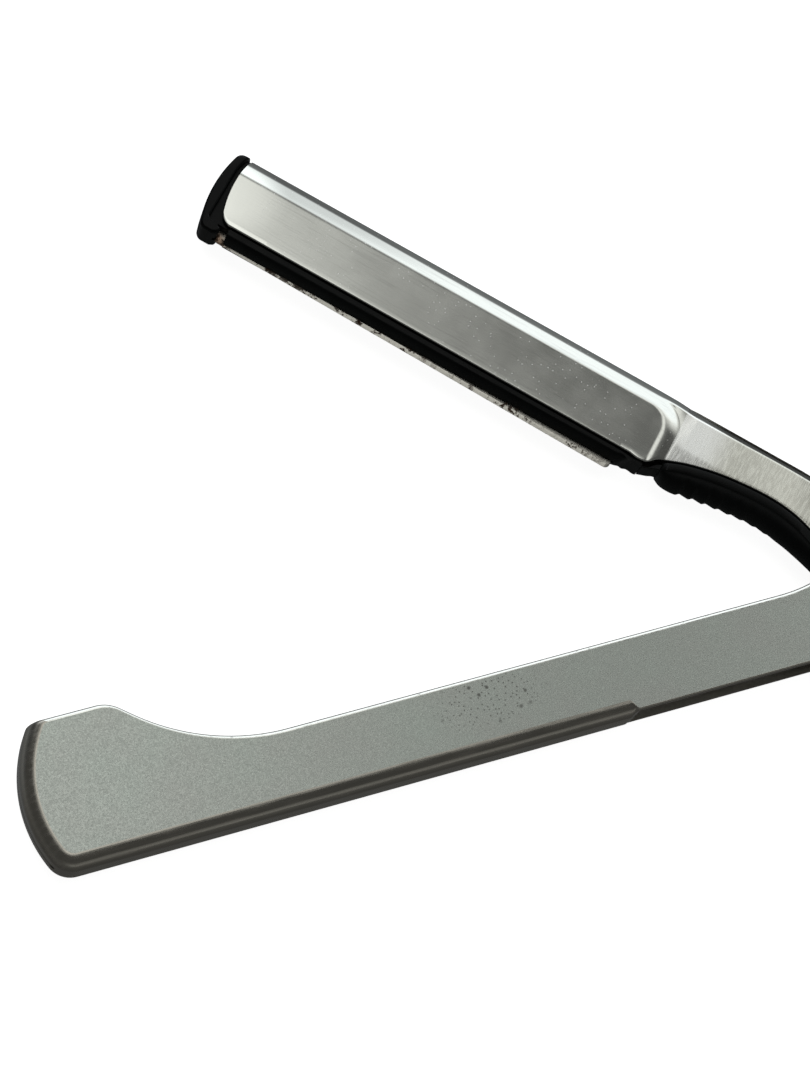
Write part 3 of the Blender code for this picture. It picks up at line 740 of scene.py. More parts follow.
def handle_outline(fold, rim):
    """The handle from the side, as points and as the kind of edge that follows each."""
    top = TOP_Y - rim
    hump = HUMP_Y - rim
    low_rim = 0.5 * rim
    lobe = LOBE_RADIUS - low_rim
    wall = end_wall(END_CENTRE, END_RADIUS - fold, hump, END_TOP_CORNER,
                    BACK_Y + fold, END_LOW_CORNER - fold, 30)
    points = list(wall)
    for i in range(9):
        t = i / 8
        y = (BACK_Y + fold) * (1 - ease(t)) + (PLATE_Y + low_rim) * ease(t)
        points.append((SLOT_X + STEP_RUN * t, y))
    folded = len(points)
    blend = (LOBE_BLEND_X ** 2 + TOP_Y ** 2 - LOBE_RADIUS ** 2) / (2 * (LOBE_RADIUS - TOP_Y))
    centre = (LOBE_BLEND_X, TOP_Y + blend)
    meet = math.atan2(centre[1], centre[0])
    points += arc((0, 0), lobe, math.radians(-90), meet, 72)
    points += arc(centre, blend + rim, meet - math.pi, math.radians(-90), 20)[1:]
    foot = (HUMP_CORNER_X, top)
    reach = (hump - top) / math.sin(HUMP_SLOPE)
    head = (foot[0] - reach * math.cos(HUMP_SLOPE), hump)
    points += rounded_corner((0, top), foot, head, HUMP_HOLLOW_RADIUS + rim, 28)
    points += rounded_corner(foot, head, (HANDLE_LOW.x, hump), HUMP_ROUND_RADIUS - rim, 14)
    kinds = [FOLDED_EDGE] * folded + [OPEN_EDGE] * (len(points) - folded)
    return points, kinds


def channel_outline(fold):
    """The space between the plates, open above, and below beside the slot."""
    slot = SLOT_X + STEP_RUN + 0.1
    points = end_wall(END_CENTRE, END_RADIUS - SHEET - fold, HUMP_Y + 1.2, END_TOP_CORNER,
                      BACK_Y + SHEET + fold, END_LOW_CORNER - SHEET - fold, 24)
    return points + [(slot, BACK_Y + SHEET + fold), (slot, PLATE_Y - BEYOND),
                     (LOBE_RADIUS + BEYOND, PLATE_Y - BEYOND),
                     (LOBE_RADIUS + BEYOND, HUMP_Y + BEYOND), (points[0][0], HUMP_Y + BEYOND)]


def handle_levels(sizes):
    """Heights and outlines of the outer skin on one side of the middle plane."""
    fold = sizes.fold_radius / MM
    width, depth = sizes.rim_width / MM, sizes.rim_depth / MM
    below = [fold * (1 - math.sin(angle)) for angle in quarter_turn(14)]
    below += [depth * (1 - math.sin(angle)) for angle in quarter_turn(7)[:-1]]
    levels = []
    for drop in sorted(set(round(b, 5) for b in below), reverse=True):
        outline, _ = handle_outline(draw_in(fold, fold, drop), draw_in(width, depth, drop))
        levels.append((MID_Z - drop, outline))
    return levels


def make_handle(sizes, settings):
    """The handle: an outer skin, hollowed by its channel, then its rivet seats, seam and relief cut."""
    finishes = [satin_steel(settings), folded_steel(), rim_steel(settings), inner_steel(settings)]
    _, kinds = handle_outline(0.0, 0.0)
    skin = stack(both_sides(handle_levels(sizes)), lambda level, point: kinds[point])
    shell = add_object("razor_handle", skin, in_handle(), finishes)
    bend = sizes.fold_radius / MM - SHEET
    half = MID_Z - SHEET
    inner = []
    for angle in quarter_turn(8):
        drop = bend * (1 - math.sin(angle))
        inner.append((half - drop, channel_outline(draw_in(bend, bend, drop))))
    cut(shell, painted(stack(both_sides(inner)), INSIDE))
    seat = MID_Z - SEAT_DEPTH
    past = MID_Z + BEYOND
    cut(shell, painted(turned([
        (0, past), (SEAT_RADIUS, past), (SEAT_RADIUS, seat), (PLATE_HOLE_RADIUS, seat),
        (PLATE_HOLE_RADIUS, -seat), (SEAT_RADIUS, -seat), (SEAT_RADIUS, -past), (0, -past)]), INSIDE))
    seam_low = BACK_Y + SEAM_DROP
    seam_end = HANDLE_LOW.x - BEYOND
    gap = sizes.seam_gap / MM
    cut(shell, painted(prism([(seam_end, seam_low), (SEAM_X, seam_low), (SEAM_X, HUMP_Y + BEYOND),
                              (seam_end, HUMP_Y + BEYOND)], -gap / 2, gap / 2), INSIDE))
    relief = rod(RELIEF_RADIUS, 0, BEYOND, segments=32)
    bmesh.ops.rotate(relief, matrix=Matrix.Rotation(math.radians(-90), 3, "Y"), verts=relief.verts)
    bmesh.ops.translate(relief, vec=(SEAM_X, seam_low, 0), verts=relief.verts)
    cut(shell, painted(relief, INSIDE))
    finish_piece(shell, "handle", "satin_steel", "handle_shell")


# ------------------------------------------------------------------ pivot

def ring_profile(radius, hole, low, high, edge):
    """The closed profile of a flat ring with small chamfers."""
    return [(hole, high), (radius - edge, high), (radius, high - edge), (radius, low + edge),
            (radius - edge, low), (hole, low), (hole, high)]


def make_pivot(settings):
    """The small round pieces: rivet, burr, two washers, the tang's bush and the thumb rest's pin."""
    steel = turned_metal("pin_steel_turned", shade(settings.polished, 0.8), 0.26)
    bronze = turned_metal("bronze_turned", tuple(settings.bronze), 0.38)
    head = RIVET_HEAD - MID_Z
    crown = [(RIVET_HEAD_RADIUS * math.cos(a), -MID_Z + 0.14 * (1 - math.sin(a))) for a in quarter_turn(8)]
    shank = [(0, MID_Z), (RIVET_RADIUS - 0.35, MID_Z), (RIVET_RADIUS - 0.1, MID_Z - 0.06),
             (RIVET_RADIUS, MID_Z - 0.2), (RIVET_RADIUS, head), (RIVET_HEAD_RADIUS, head)]
    rivet = add_object("hinge_rivet", turned(shank + crown), in_handle(), [steel])
    finish_piece(rivet, "handle", "pin_steel", "pivot_rivet")
    burr = turned(ring_profile(RIVET_HEAD_RADIUS, RIVET_RADIUS + PLAY, -head, MID_Z, 0.08))
    finish_piece(add_object("hinge_burr", burr, in_handle(), [steel]), "handle", "pin_steel", "rivet_burr")
    near, far = TANG_HALF + PLAY, MID_Z - SHEET - PLAY
    for name, low, high in (("lower", -far, -near), ("upper", near, far)):
        washer = turned(ring_profile(WASHER_RADIUS, PLATE_HOLE_RADIUS, low, high, 0.06))
        finish_piece(add_object("hinge_washer_" + name, washer, in_handle(), [bronze]),
                     "handle", "bronze", "washer_" + name)
    bush = turned(ring_profile(BUSH_RADIUS, PLATE_HOLE_RADIUS, -TANG_HALF, TANG_HALF, 0.08))
    finish_piece(add_object("hinge_bush", bush, in_head(), [bronze]), "head", "bronze", "pivot_bush")
    pin = rod(GRIP_PIN_RADIUS, -TANG_HALF, TANG_HALF, GRIP_PIN)
    pin = add_object("thumb_rest_pin", pin, in_head(), [steel])
    edge = pin.modifiers.new("edge", "BEVEL")
    edge.width = 0.12 * MM
    edge.segments = 3
    finish_piece(pin, "head", "pin_steel", "grip_rivet")


# ------------------------------------------------------------------ holder

BEND = smooth_through([(38.0, 14.4), (34.0, 12.6), (27.0, 9.6), (18.0, 6.6), (9.0, 5.0), (0.0, 4.9),
                       (-8.0, 6.0), (-16.0, 7.1), (BEND_X, SPINE_Y)], 12)
UNDERSIDE = smooth_through([(HEEL_X, LOW_HEEL_Y), (-40.0, -4.2), (-38.7, -3.9), (-37.4, -2.7), (-35.5, -1.8),
                            (-32.6, -0.8), (-28.0, 0.15), (-22.0, 0.62), (-17.5, 0.2), (-13.5, -1.1),
                            (-9.0, -3.4), (-4.5, -4.9), (0.5, -5.1), (6.0, -3.2), (14.0, 0.0),
                            (22.0, 2.9), (30.0, 6.2), (38.0, 10.1)], 12)
TIP_X = TIP_ARC_CENTRE[0] - TIP_ARC_RADIUS
SHANK_X = -36.9
TAIL_X = 36.6
TAIL_ROUND = 2.0
WITHIN, SHANK, SPINE = 1, 2, 3

# A section's points: the rounded lower edge as (height, set back), the side in even steps, then
# fine steps over the bevel and the spine. Sections lower than FULL_HEIGHT are scaled down.
FULL_HEIGHT = 7.0
LOW_EDGE = ((0.0, 0.16), (0.03, 0.07), (0.09, 0.02))
SIDE_STEPS = 12
BROW_STEPS = 40
BROW_DEPTH = 4.1
SPINE_FIRST = len(LOW_EDGE) + SIDE_STEPS + round(BROW_STEPS * (1 - SPINE_RUN / BROW_DEPTH))


def spine_at(x):
    """Height of the spine along the head."""
    return SPINE_Y if x <= BEND_X else height_on(BEND, x)


def low_at(x):
    """Height of the head's lower edge, with the rounded corner at the tip."""
    if x > HEEL_X:
        return height_on(UNDERSIDE, x)
    level = LOW_TIP_Y + (LOW_HEEL_Y - LOW_TIP_Y) * (x - TIP_X) / (HEEL_X - TIP_X)
    into = TIP_X + TIP_CORNER - x
    if into > 0:
        level += TIP_CORNER - math.sqrt(max(0.0, TIP_CORNER ** 2 - into ** 2))
    return level


def tip_bulge(y):
    """How far the tip's arc stands back from its furthest point at a height y."""
    return TIP_ARC_RADIUS - math.sqrt(TIP_ARC_RADIUS ** 2 - (y - TIP_ARC_CENTRE[1]) ** 2)


def raised(drop, x):
    """0 on the shank and 1 on the raised face, from the distance below the spine and x."""
    down = max(0.0, 1 + FACE_CORNER - (drop - SPINE_RUN) / BEVEL_RUN)
    along = max(0.0, 1 + FACE_CORNER - (FACE_END_X - x) / HEEL_RUN)
    reach = math.hypot(down, along)
    rise = 1 + FACE_CORNER - reach
    foot, brow = 0.16, 0.22 + 0.20 * along / max(reach, 0.001)
    rise = min(max(rise, -foot), 1 + brow)
    if rise < foot:
        return (rise + foot) ** 2 / (4 * foot)
    if rise > 1 - brow:
        return 1 - (1 + brow - rise) ** 2 / (4 * brow)
    return rise


def spine_profile(tilts):
    """Depth below the side face along a rounded spine, from its tilts in degrees at even steps."""
    step = SPINE_ROUND / (len(tilts) - 1)
    depths = [0.0]
    for here, there in zip(reversed(tilts), list(reversed(tilts))[1:]):
        depths.append(depths[-1] + step * math.tan(math.radians((here + there) / 2)))
    return list(reversed(depths))


HOLDER_SPINE = spine_profile([62, 53, 47, 43, 41, 39, 37, 34, 28, 15, 0])
SHANK_SPINE = spine_profile([66, 56, 51, 49, 48, 47, 46, 44, 33, 10, 0])


def spine_depth(drop, x):
    """How far the rounded spine lies inside the side face at a distance below the spine line."""
    place = min(max(drop / SPINE_ROUND, 0.0), 1.0) * (len(HOLDER_SPINE) - 1)
    low = min(int(place), len(HOLDER_SPINE) - 2)
    share = place - low
    on_shank = ease((x - SPINE_CHANGE_X) / SPINE_CHANGE_RUN)
    depth = 0.0
    for profile, weight in ((HOLDER_SPINE, 1 - on_shank), (SHANK_SPINE, on_shank)):
        depth += weight * (profile[low] + (profile[low + 1] - profile[low]) * share)
    return depth


def side_at(drop, x):
    """Half thickness of the head at a distance below the spine."""
    taper = ease((x - TAPER_FROM_X) / TAPER_FROM_RUN) * ease((TAPER_TO_X - x) / TAPER_TO_RUN) * SHANK_TAPER
    lean = taper * (1 - min(max((drop - SPINE_RUN) / TAPER_DEPTH, 0.0), 1.0))
    return TANG_HALF - spine_depth(drop, x) - lean + (FACE_HALF - TANG_HALF) * raised(drop, x)


def holder_section(x):
    """Outer and inner points of the folded sheet at x, from the lower edge to the spine."""
    spine, low = spine_at(x), low_at(x)
    tall = spine - low
    if x > TAIL_X - TAIL_ROUND:
        into = (x - TAIL_X + TAIL_ROUND) / TAIL_ROUND
        keep = max(0.12, math.sqrt(max(0.0, 1 - into ** 2)))
        middle = (spine + low) / 2
        spine, low, tall = middle + tall / 2 * keep, middle - tall / 2 * keep, tall * keep
    size = min(1.0, tall / FULL_HEIGHT)
    bulge = ease((TIP_CURVE_X - x) / (TIP_CURVE_X - TIP_X))
    outer, inner = [], []

    def put(drop, z, inner_drop, inner_z):
        y, inner_y = spine - drop, spine - inner_drop
        outer.append((x + bulge * tip_bulge(y), y, z))
        inner.append((x + bulge * tip_bulge(inner_y), inner_y, inner_z))

    edge = side_at(tall / size, x)
    for up, back in LOW_EDGE:
        put(tall - up, edge - back, tall - up * 0.5, edge - HEAD_SHEET + 0.1 * back)
    first = BROW_DEPTH * size
    for i in range(SIDE_STEPS + 1):
        drop = tall - 0.18 - (tall - 0.18 - first) * i / SIDE_STEPS
        side = side_at(drop / size, x)
        put(drop, side, drop, side - HEAD_SHEET)
    for i in range(1, BROW_STEPS + 1):
        drop = first * (1 - i / BROW_STEPS)
        side = side_at(drop / size, x)
        hollow = min(side, side_at(max(drop / size, CHANNEL_TOP), x)) - HEAD_SHEET
        put(drop, side, max(drop, CHANNEL_TOP * size), max(0.02, hollow))
    edge = side_at(0.0, x)
    for part in (0.85, 0.5):
        put(-0.012, edge * part, CHANNEL_TOP * size, 0.02 * part)
    return outer, inner


def mirrored(half):
    """A half section from lower edge to spine, carried over the middle plane."""
    return half + [(x, y, -z) for x, y, z in reversed(half)]


def make_holder(settings):
    """The head's sheet: sections along it, joined into an outer and an inner skin with closed edges."""
    stations = spread((TAIL_X, TAIL_X - TAIL_ROUND, 0.1), (TAIL_X - TAIL_ROUND, -30.0, 0.8),
                      (-30.0, -34.0, 0.35), (-34.0, -43.0, 0.1), (-43.0, -98.0, 1.8),
                      (-98.0, TIP_X + TIP_CORNER, 0.35), (TIP_X + TIP_CORNER, TIP_X, 0.08))
    work = bmesh.new()
    outer, inner = [], []
    for x in stations:
        out, within = holder_section(x)
        outer.append([work.verts.new(p) for p in mirrored(out)])
        inner.append([work.verts.new(p) for p in mirrored(within)])
    last = len(outer[0]) - 1
    near_spine = range(SPINE_FIRST, last - SPINE_FIRST)
    for i in range(len(stations) - 1):
        for j in range(last):
            face = work.faces.new((outer[i][j], outer[i][j + 1], outer[i + 1][j + 1], outer[i + 1][j]))
            if stations[i + 1] > SHANK_X:
                face.material_index = SPINE if j in near_spine else SHANK
            within = work.faces.new((inner[i][j], inner[i + 1][j], inner[i + 1][j + 1], inner[i][j + 1]))
            within.material_index = WITHIN
        for j in (0, last):
            work.faces.new((outer[i][j], inner[i][j], inner[i + 1][j], outer[i + 1][j]))
    for i in (0, len(stations) - 1):
        for j in range(last):
            work.faces.new((outer[i][j], inner[i][j], inner[i][j + 1], outer[i][j + 1]))
    finishes = [polished_steel(settings), finish_for("inner_steel", lambda: inner_steel(settings)),
                shank_steel(settings), spine_steel()]
    holder = add_object("razor_holder", work, in_head(), finishes)
    cut(holder, painted(rod(TANG_HOLE_RADIUS, -MID_Z, MID_Z), WITHIN))
    cut(holder, painted(rod(GRIP_PIN_HOLE, -MID_Z, MID_Z, GRIP_PIN, 32), WITHIN))
    finish_piece(holder, "head", "polished_steel", "holder_shell", sharp=32.0)


# ------------------------------------------------------------------ thumb rest

GRIP_LINE = smooth_through([(-36.7, -3.7), (-36.3, -4.35), (-35.6, -4.85), (-34.5, -5.08), (-33.1, -5.0),
                            (-29.3, -4.3), (-25.5, -3.75), (-21.7, -3.45), (-17.4, -3.8), (-13.6, -4.6),
                            (-9.0, -5.8), (-5.5, -6.6)], 12)


def rib_at(x, sizes):
    """How far the ribs lift the thumb rest's underside: a steep fall, then a slow rise."""
    phase = (x - RIB_START_X) / RIB_PITCH
    if phase < 0 or phase > sizes.rib_count:
        return 0.0
    step = phase % 1.0
    wave = ease(step / RIB_FALL) if step < RIB_FALL else 1 - ((step - RIB_FALL) / (1 - RIB_FALL)) ** 0.9
    return wave * sizes.rib_depth / MM * (1 - phase / (sizes.rib_count + 3))


def grip_section(x, sizes):
    """Tenon, flange, straight band and rounded belly of the thumb rest across its length."""
    edge = height_on(UNDERSIDE, x)
    nose = math.sqrt(1 - (1 - min(1.0, (x - NOSE_X) / NOSE_RUN)) ** 2)
    half = GRIP_HALF * (NOSE_NARROW + (1 - NOSE_NARROW) * nose)
    flange = edge - GRIP_GAP
    line = height_on(GRIP_LINE, x)
    band = max(flange - GRIP_BAND, line + 0.06)
    rib = rib_at(x, sizes)
    right = [(edge + GRIP_TENON_HIGH, GRIP_TENON_HALF), (flange, GRIP_TENON_HALF), (flange, half - 0.12),
             (flange - 0.04, half - 0.03), (flange - 0.12, half), (band + 0.08, half), (band, half - 0.06)]
    steps = 14
    for i in range(1, steps):
        angle = math.radians(90) * i / steps
        lift = rib * ease(i / 5)
        right.append((band - (band - line) * math.sin(angle) + lift * math.sin(angle),
                      (half - 0.10) * math.cos(angle) ** 0.85))
    left = [(y, -z) for y, z in reversed(right)]
    return [(x, y, z) for y, z in right + [(line + rib, 0.0)] + left]


def make_thumb_rest(sizes, settings):
    """The ribbed thumb rest with its tongue, and the hole for its pin."""
    rubber = black_plastic(settings, "black_grip_plastic", 0.46, 0.16)
    nose_end = NOSE_X + NOSE_RUN
    stations = spread((NOSE_X + 0.01, nose_end, 0.08), (nose_end, RIB_START_X, 0.3),
                      (RIB_START_X, -16.0, 0.11), (-16.0, -5.6, 0.5))
    belly = loft([grip_section(x, sizes) for x in stations])
    rest = add_object("ribbed_thumb_rest", belly, in_head(), [rubber])
    tongue = stack(both_sides([(half, tongue_outline(inset)) for half, inset in
                               ((1.30, 0.0), (1.48, 0.05), (1.6, 0.18))]))
    cut(rest, tongue, "UNION")
    cut(rest, rod(GRIP_PIN_HOLE, -MID_Z, MID_Z, GRIP_PIN, 32))
    finish_piece(rest, "head", "grip_plastic", "thumb_rest", sharp=40.0)


def tongue_outline(inset):
    """The thin lip that runs from the thumb rest's nose up to the heel of the holder."""
    upper = smooth_through([(-35.4, -2.7), (-36.4, -2.78), (-37.3, -3.2), (-38.2, -4.12), (-39.06, -4.40)], 4)
    lower = smooth_through([(-39.06, -4.74), (-37.7, -4.25), (-36.8, -3.85), (-35.4, -3.95)], 4)
    return [(x, y - inset) for x, y in upper] + [(x, y + inset * 0.4) for x, y in lower]


# ------------------------------------------------------------------ carrier and blade

def guard_outline(low):
    """Side of the band that runs below the holder on both sides of the blade."""
    heel = smooth_through([(-42.9, low), (-42.1, low + 0.2), (-41.3, -4.85), (-40.5, -4.62),
                           (-39.6, -4.72), (-39.1, -4.66)], 6)
    return [(GUARD_TIP_X, GUARD_TIP_TOP), (GUARD_TIP_X, low)] + heel + [
        (-39.1, GUARD_TOP_Y - 0.15), (-41.0, GUARD_TOP_Y - 0.15), (-42.5, GUARD_TOP_Y)]


def cap_outline(inset, drop):
    """The rim at the tip from the side, drawn in by inset, its top lowered by drop.

    It widens at its foot, whose lower corner is rounded.
    """
    high, low = SPINE_Y - inset - drop, CAP_LOW_Y + inset
    wall = end_wall(CAP_ARC_CENTRE, CAP_ARC_RADIUS - inset, high, CAP_CORNER - inset,
                    low, CAP_CORNER - inset, 30)
    inner = []
    for i in range(41):
        y = low + (high - low) * i / 40
        turned_under = min(max((low + FOOT_CORNER - y) / FOOT_CORNER, 0.0), 1.0)
        foot = FOOT_REACH * ease((LOW_TIP_Y - 0.1 - y) / 0.9)
        foot -= FOOT_CORNER * (1 - math.sqrt(1 - turned_under ** 2))
        crown = CROWN_REACH * min(tip_bulge(y), CROWN_MOST) * ease((y - CROWN_FROM_Y) / CROWN_RUN)
        inner.append((CAP_INNER_X + 0.2 - inset + foot + crown, y))
    return wall + inner


def neck_outline(drop):
    """The solid between the cap and the holder's curved tip, its top lowered by drop."""
    low, high = CAP_LOW_Y + 0.45, SPINE_Y - 0.12 - drop
    beside = [(TIP_X - 0.12 + min(tip_bulge(y), 1.0), y)
              for y in (low + (high - low) * i / 20 for i in range(21))]
    return beside + [(CAP_INNER_X - 0.5, high), (CAP_INNER_X - 0.5, low)]


def make_carrier(settings):
    """The carrier: a flat core inside the holder, with the guard, neck and cap joined to it."""
    plastic = black_plastic(settings, "black_carrier_plastic", 0.34, 0.12)
    core_low = GUARD_TOP_Y - 0.6
    core_top = SPINE_Y - 3.6
    core = prism([(CARRIER_HEEL_X, 0.6), (CARRIER_HEEL_X - 3.0, core_top), (CAP_INNER_X - 0.4, core_top),
                  (CAP_INNER_X - 0.4, GUARD_TIP_TOP), (GUARD_TIP_X - 0.3, GUARD_TIP_TOP),
                  (GUARD_TIP_X + 0.5, core_low), (-42.0, core_low), (-41.0, GUARD_TOP_Y),
                  (CARRIER_HEEL_X, GUARD_TOP_Y + 0.6)], -CARRIER_HALF, CARRIER_HALF)
    carrier = add_object("blade_carrier_body", core, in_head(), [plastic])
    guard = []
    for angle in quarter_turn(8):
        half = ROUND_FROM_Z + (GUARD_HALF - ROUND_FROM_Z) * math.sin(angle)
        guard.append((half, guard_outline(GUARD_Y + GUARD_LIFT + GUARD_ROUND * (1 - math.cos(angle)))))
    neck = [(half, neck_outline(NECK_FALL * (half / NECK_HALF) ** 2))
            for half in (0.3 + (NECK_HALF - 0.3) * i / 6 for i in range(7))]
    cap = []
    for angle in quarter_turn(12):
        half = ROUND_FROM_Z + (CAP_HALF - ROUND_FROM_Z) * math.sin(angle)
        rounding = draw_in(CAP_EDGE, CAP_EDGE, min(CAP_HALF - half, CAP_EDGE))
        cap.append((half, cap_outline(rounding, CAP_FALL * (half / CAP_HALF) ** 2)))
    for levels in (guard, neck, cap):
        cut(carrier, stack(both_sides(levels)), "UNION")
    slot_tip = BLADE_TIP_X - BLADE_ROOM
    slot_heel = BLADE_TIP_X + BLADE_LENGTH + BLADE_ROOM
    slot_top = BLADE_EDGE_TIP_Y + BLADE_HEIGHT + BLADE_ROOM
    below = GUARD_Y - BEYOND
    cut(carrier, prism([(slot_tip, slot_top), (slot_tip, below), (slot_heel, below), (slot_heel, slot_top)],
                       -BLADE_SLOT_HALF, BLADE_SLOT_HALF))
    finish_piece(carrier, "insert", "carrier_plastic", "blade_carrier", sharp=35.0)


def blade_outline(lift):
    """The blade from the side, with its cutting edge drawn up by lift and rounded corners."""
    heel_x = BLADE_TIP_X + BLADE_LENGTH
    tip, heel = BLADE_EDGE_TIP_Y + lift, BLADE_EDGE_HEEL_Y + lift
    top_tip = (BLADE_TIP_X, BLADE_EDGE_TIP_Y + BLADE_HEIGHT)
    top_heel = (heel_x, BLADE_EDGE_HEEL_Y + BLADE_HEIGHT)
    points = [top_tip]
    points += rounded_corner(top_tip, (BLADE_TIP_X, tip), (heel_x, heel), BLADE_CORNER, 8)
    points += rounded_corner((BLADE_TIP_X, tip), (heel_x, heel), top_heel, BLADE_CORNER, 8)
    return points + [top_heel]


def make_blade(settings):
    """The blade: a flat strip ground on both sides to a thin edge, in two slopes."""
    grind = ((0.012, 0.0), (0.085, 0.35), (BLADE_THICK / 2, 0.6))
    levels = [(half, blade_outline(lift)) for half, lift in grind]
    blade = add_object("razor_blade", stack(both_sides(levels)), in_head(), [blade_steel(settings)])
    finish_piece(blade, "insert", "blade_steel", "blade", sharp=8.0)


# ------------------------------------------------------------------ stage

# Brightness of the panel overhead from left to right, as (slope to the right, light)
PANEL = ((-0.60, 0.05), (-0.35, 0.10), (-0.10, 0.55), (0.03, 1.05), (0.12, 1.10), (0.155, 0.50),
         (0.195, 0.29), (0.24, 0.15), (0.285, 0.10), (0.35, 0.11), (0.40, 0.92), (0.53, 0.92),
         (0.66, 0.12), (1.1, 0.06))
WALL_LIGHT = 1.22
FLOOR_LIGHT = 0.92
FLOOR_HALF = 2500.0
FLOOR_DROP = 0.3

# The camera looks down at the razor, tilted a little from straight above and turned about Z
CAMERA_TURN = math.radians(18.3)
CAMERA_LEAN_BACK = math.radians(19.0)
CAMERA_LEAN_LEFT = math.radians(11.0)
CAMERA_DISTANCE = 0.45
CAMERA_AIM = (-65.31, 23.24)
CAMERA_LENS = 112.35
SCREEN_RIGHT = (math.cos(CAMERA_TURN), -math.sin(CAMERA_TURN))
SCREEN_UP = (math.sin(CAMERA_TURN), math.cos(CAMERA_TURN))


def panel_light(made, across):
    """The panel's brightness, from the slope to the right of a line of sight."""
    ramp = made.add("ShaderNodeValToRGB")
    ramp.color_ramp.interpolation = "EASE"
    first, last = PANEL[0][0], PANEL[-1][0]
    made.join(made.maths("DIVIDE", made.maths("SUBTRACT", across, first), last - first), ramp.inputs["Fac"])
    stops = ramp.color_ramp.elements
    for i, (where, light) in enumerate(PANEL):
        at = (where - first) / (last - first)
        stop = stops[0] if i == 0 else stops[-1] if i == len(PANEL) - 1 else stops.new(at)
        stop.position = at
        stop.color = (light, light, light, 1.0)
    return ramp.outputs["Color"]


def surround():
    """The studio round the razor: a soft panel above it, a light wall beyond it, dark sides."""
    world = bpy.data.worlds.new("studio")
    bpy.context.scene.world = world
    world.use_nodes = True
    made = Nodes(world.node_tree)
    sight = made.add("ShaderNodeTexCoord").outputs["Generated"]

    def along(direction):
        dot = made.add("ShaderNodeVectorMath", operation="DOT_PRODUCT")
        dot.inputs[1].default_value = direction
        made.join(sight, dot.inputs[0])
        return dot.outputs["Value"]

    up = along((0, 0, 1))
    raised_up = made.maths("MAXIMUM", up, 0.03)
    across = made.maths("DIVIDE", along((*SCREEN_RIGHT, 0)), raised_up)
    ahead = along((*SCREEN_UP, 0))
    beyond = made.maths("DIVIDE", ahead, raised_up)
    over = made.times(panel_light(made, across), made.between(beyond, -0.15, 0.06, 0.0, 1.0))
    wall_foot = made.maths("ADD", beyond, made.between(across, 0.30, 0.75, 0.0, 0.30))
    wall = made.times(made.between(wall_foot, 0.48, 1.15, 0.0, WALL_LIGHT),
                      made.between(up, 0.0, 0.42, 0.18, 1.0))
    wall = made.times(wall, made.between(across, -1.3, -0.5, 0.0, 1.0))
    low_haze = made.times(made.between(up, 0.02, 0.40, 0.24, 0.0),
                          made.between(across, -2.5, -0.5, 0.10, 1.0))
    haze = made.maths("ADD", low_haze, 0.07)
    sky = made.maths("MAXIMUM", made.maths("MAXIMUM", over, wall), haze)
    ground = made.times(made.between(up, -0.8, -0.05, 0.85, 1.25),
                        made.between(ahead, -0.35, 0.35, 0.075, 0.15))
    above = made.between(up, -0.03, 0.03, 0.0, 1.0)
    total = made.maths("ADD", made.times(sky, above),
                       made.times(ground, made.maths("SUBTRACT", 1.0, above)))
    back = world.node_tree.nodes["Background"]
    made.join(total, back.inputs["Strength"])
    tint = made.blend(made.between(beyond, 0.5, 1.0, 0.0, 1.0), (1.0, 1.0, 0.97), (0.96, 1.0, 1.03))
    made.join(tint, back.inputs["Color"])


def make_camera():
    """A camera above the razor, aimed at a point in its middle plane."""
    right = Vector((*SCREEN_RIGHT, 0))
    up = Vector((*SCREEN_UP, 0))
    back = Vector((0, 0, 1)) - up * math.tan(CAMERA_LEAN_BACK) - right * math.tan(CAMERA_LEAN_LEFT)
    back.normalize()
    side = up.cross(back).normalized()
    top = back.cross(side)
    aim = Vector((CAMERA_AIM[0] * MM, CAMERA_AIM[1] * MM, MID_Z * MM))
    data = bpy.data.cameras.new("view")
    data.lens = CAMERA_LENS
    data.sensor_width = 36.0
    camera = bpy.data.objects.new("view", data)
    bpy.context.scene.collection.objects.link(camera)
    turn = Matrix((side, top, back)).transposed().to_4x4()
    camera.matrix_world = Matrix.Translation(aim + back * CAMERA_DISTANCE) @ turn
    bpy.context.scene.camera = camera


def make_floor():
    """A plain pale floor just under the razor. The metal's reflections pass it by."""
    work = bmesh.new()
    bmesh.ops.create_grid(work, x_segments=1, y_segments=1, size=FLOOR_HALF)
    made = Finish("pale_floor", (0.93, 0.93, 0.93), 0.9, 0.0)
    made.shader.inputs["Emission Color"].default_value = (1.0, 1.0, 1.0, 1.0)
    made.shader.inputs["Emission Strength"].default_value = FLOOR_LIGHT
    tone = made.noise(60.0, 2.0)
    made.use("Base Color", made.blend(tone, (0.92, 0.92, 0.92), (0.95, 0.95, 0.95)))
    floor = add_object("floor", work, Matrix.Translation((0, 0, -FLOOR_DROP * MM)), [made.material])
    floor.visible_glossy = False


# ------------------------------------------------------------------ operators

class RAZOR_OT_stage(Operator):
    """Add the pale floor, the studio light and the camera"""

    bl_idname = "razor.stage"
    bl_label = "Stage"

    def execute(self, context):
        make_floor()
        surround()
        make_camera()
        context.scene.view_settings.view_transform = "Standard"
        return {"FINISHED"}


class RAZOR_OT_handle(Operator):
    """Build the folded sheet handle with its rims, end seam and rivet seats"""

    bl_idname = "razor.handle"
    bl_label = "Handle"

    def execute(self, context):
        make_handle(context.scene.razor_sizes, context.scene.razor_finish)
        return {"FINISHED"}


class RAZOR_OT_pivot(Operator):
    """Build the rivet, burr, washers, bush and the thumb rest's pin"""

    bl_idname = "razor.pivot"
    bl_label = "Hinge"

    def execute(self, context):
        make_pivot(context.scene.razor_finish)
        return {"FINISHED"}


class RAZOR_OT_holder(Operator):
    """Build the polished head: holder, shank and tail from one folded sheet"""

    bl_idname = "razor.holder"
    bl_label = "Holder"

    def execute(self, context):
        make_holder(context.scene.razor_finish)
        return {"FINISHED"}


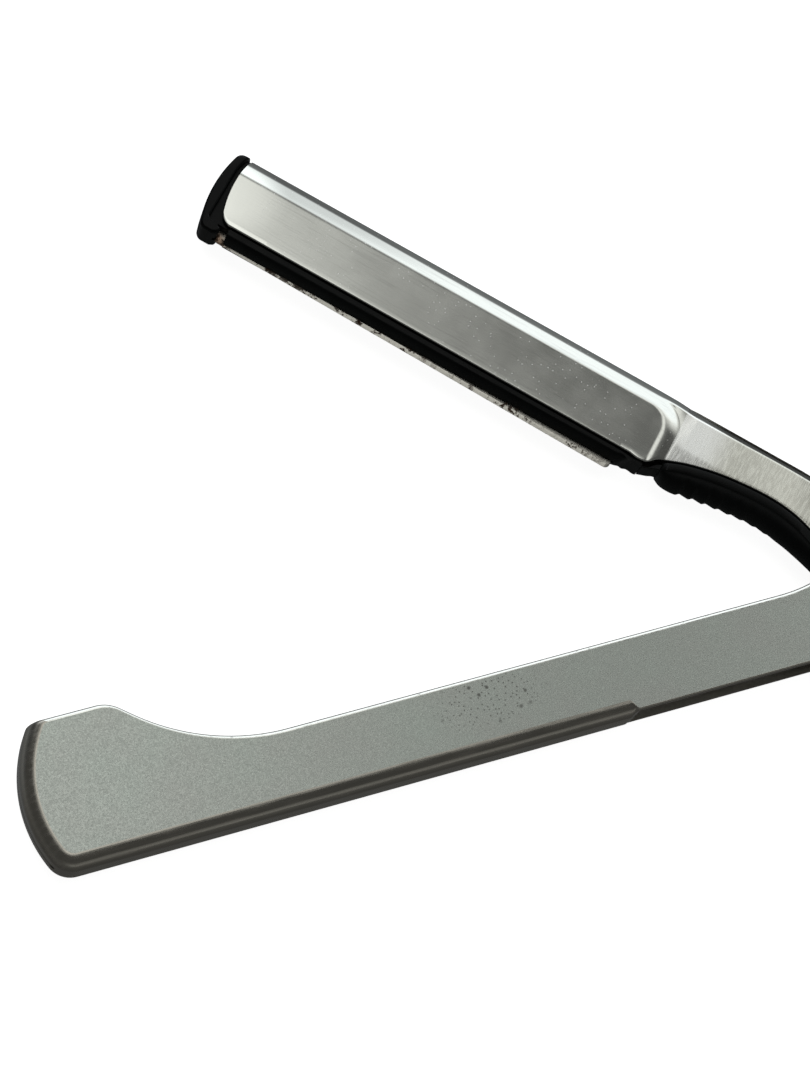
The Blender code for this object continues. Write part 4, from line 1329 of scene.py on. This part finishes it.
class RAZOR_OT_thumb_rest(Operator):
    """Build the ribbed black thumb rest"""

    bl_idname = "razor.thumb_rest"
    bl_label = "Thumb Rest"

    def execute(self, context):
        make_thumb_rest(context.scene.razor_sizes, context.scene.razor_finish)
        return {"FINISHED"}


class RAZOR_OT_carrier(Operator):
    """Build the black blade carrier with its guard bands and tip cap"""

    bl_idname = "razor.carrier"
    bl_label = "Carrier"

    def execute(self, context):
        make_carrier(context.scene.razor_finish)
        return {"FINISHED"}


class RAZOR_OT_blade(Operator):
    """Build the long thin blade"""

    bl_idname = "razor.blade"
    bl_label = "Blade"

    def execute(self, context):
        make_blade(context.scene.razor_finish)
        return {"FINISHED"}


OPERATORS = (RAZOR_OT_stage, RAZOR_OT_handle, RAZOR_OT_pivot, RAZOR_OT_holder,
             RAZOR_OT_thumb_rest, RAZOR_OT_carrier, RAZOR_OT_blade)


class RAZOR_PT_panel(Panel):
    """Sizes, finishes and build steps of the razor."""

    bl_idname = "RAZOR_PT_panel"
    bl_label = "Folding Razor"
    bl_space_type = "VIEW_3D"
    bl_region_type = "UI"
    bl_category = "Razor"

    def draw(self, context):
        layout = self.layout
        for group in (context.scene.razor_sizes, context.scene.razor_finish):
            column = layout.column()
            for name in group.__annotations__:
                column.prop(group, name)
        for operator in OPERATORS:
            layout.operator(operator.bl_idname)


CLASSES = (RazorSizes, RazorFinish, *OPERATORS, RAZOR_PT_panel)


def register():
    for cls in CLASSES:
        bpy.utils.register_class(cls)
    bpy.types.Scene.razor_sizes = PointerProperty(type=RazorSizes)
    bpy.types.Scene.razor_finish = PointerProperty(type=RazorFinish)


def unregister():
    del bpy.types.Scene.razor_finish
    del bpy.types.Scene.razor_sizes
    for cls in reversed(CLASSES):
        bpy.utils.unregister_class(cls)


def main():
    register()
    bpy.ops.razor.stage()
    bpy.ops.razor.handle()
    bpy.ops.razor.pivot()
    bpy.ops.razor.holder()
    bpy.ops.razor.thumb_rest()
    bpy.ops.razor.carrier()
    bpy.ops.razor.blade()


if __name__ == "__main__":
    main()
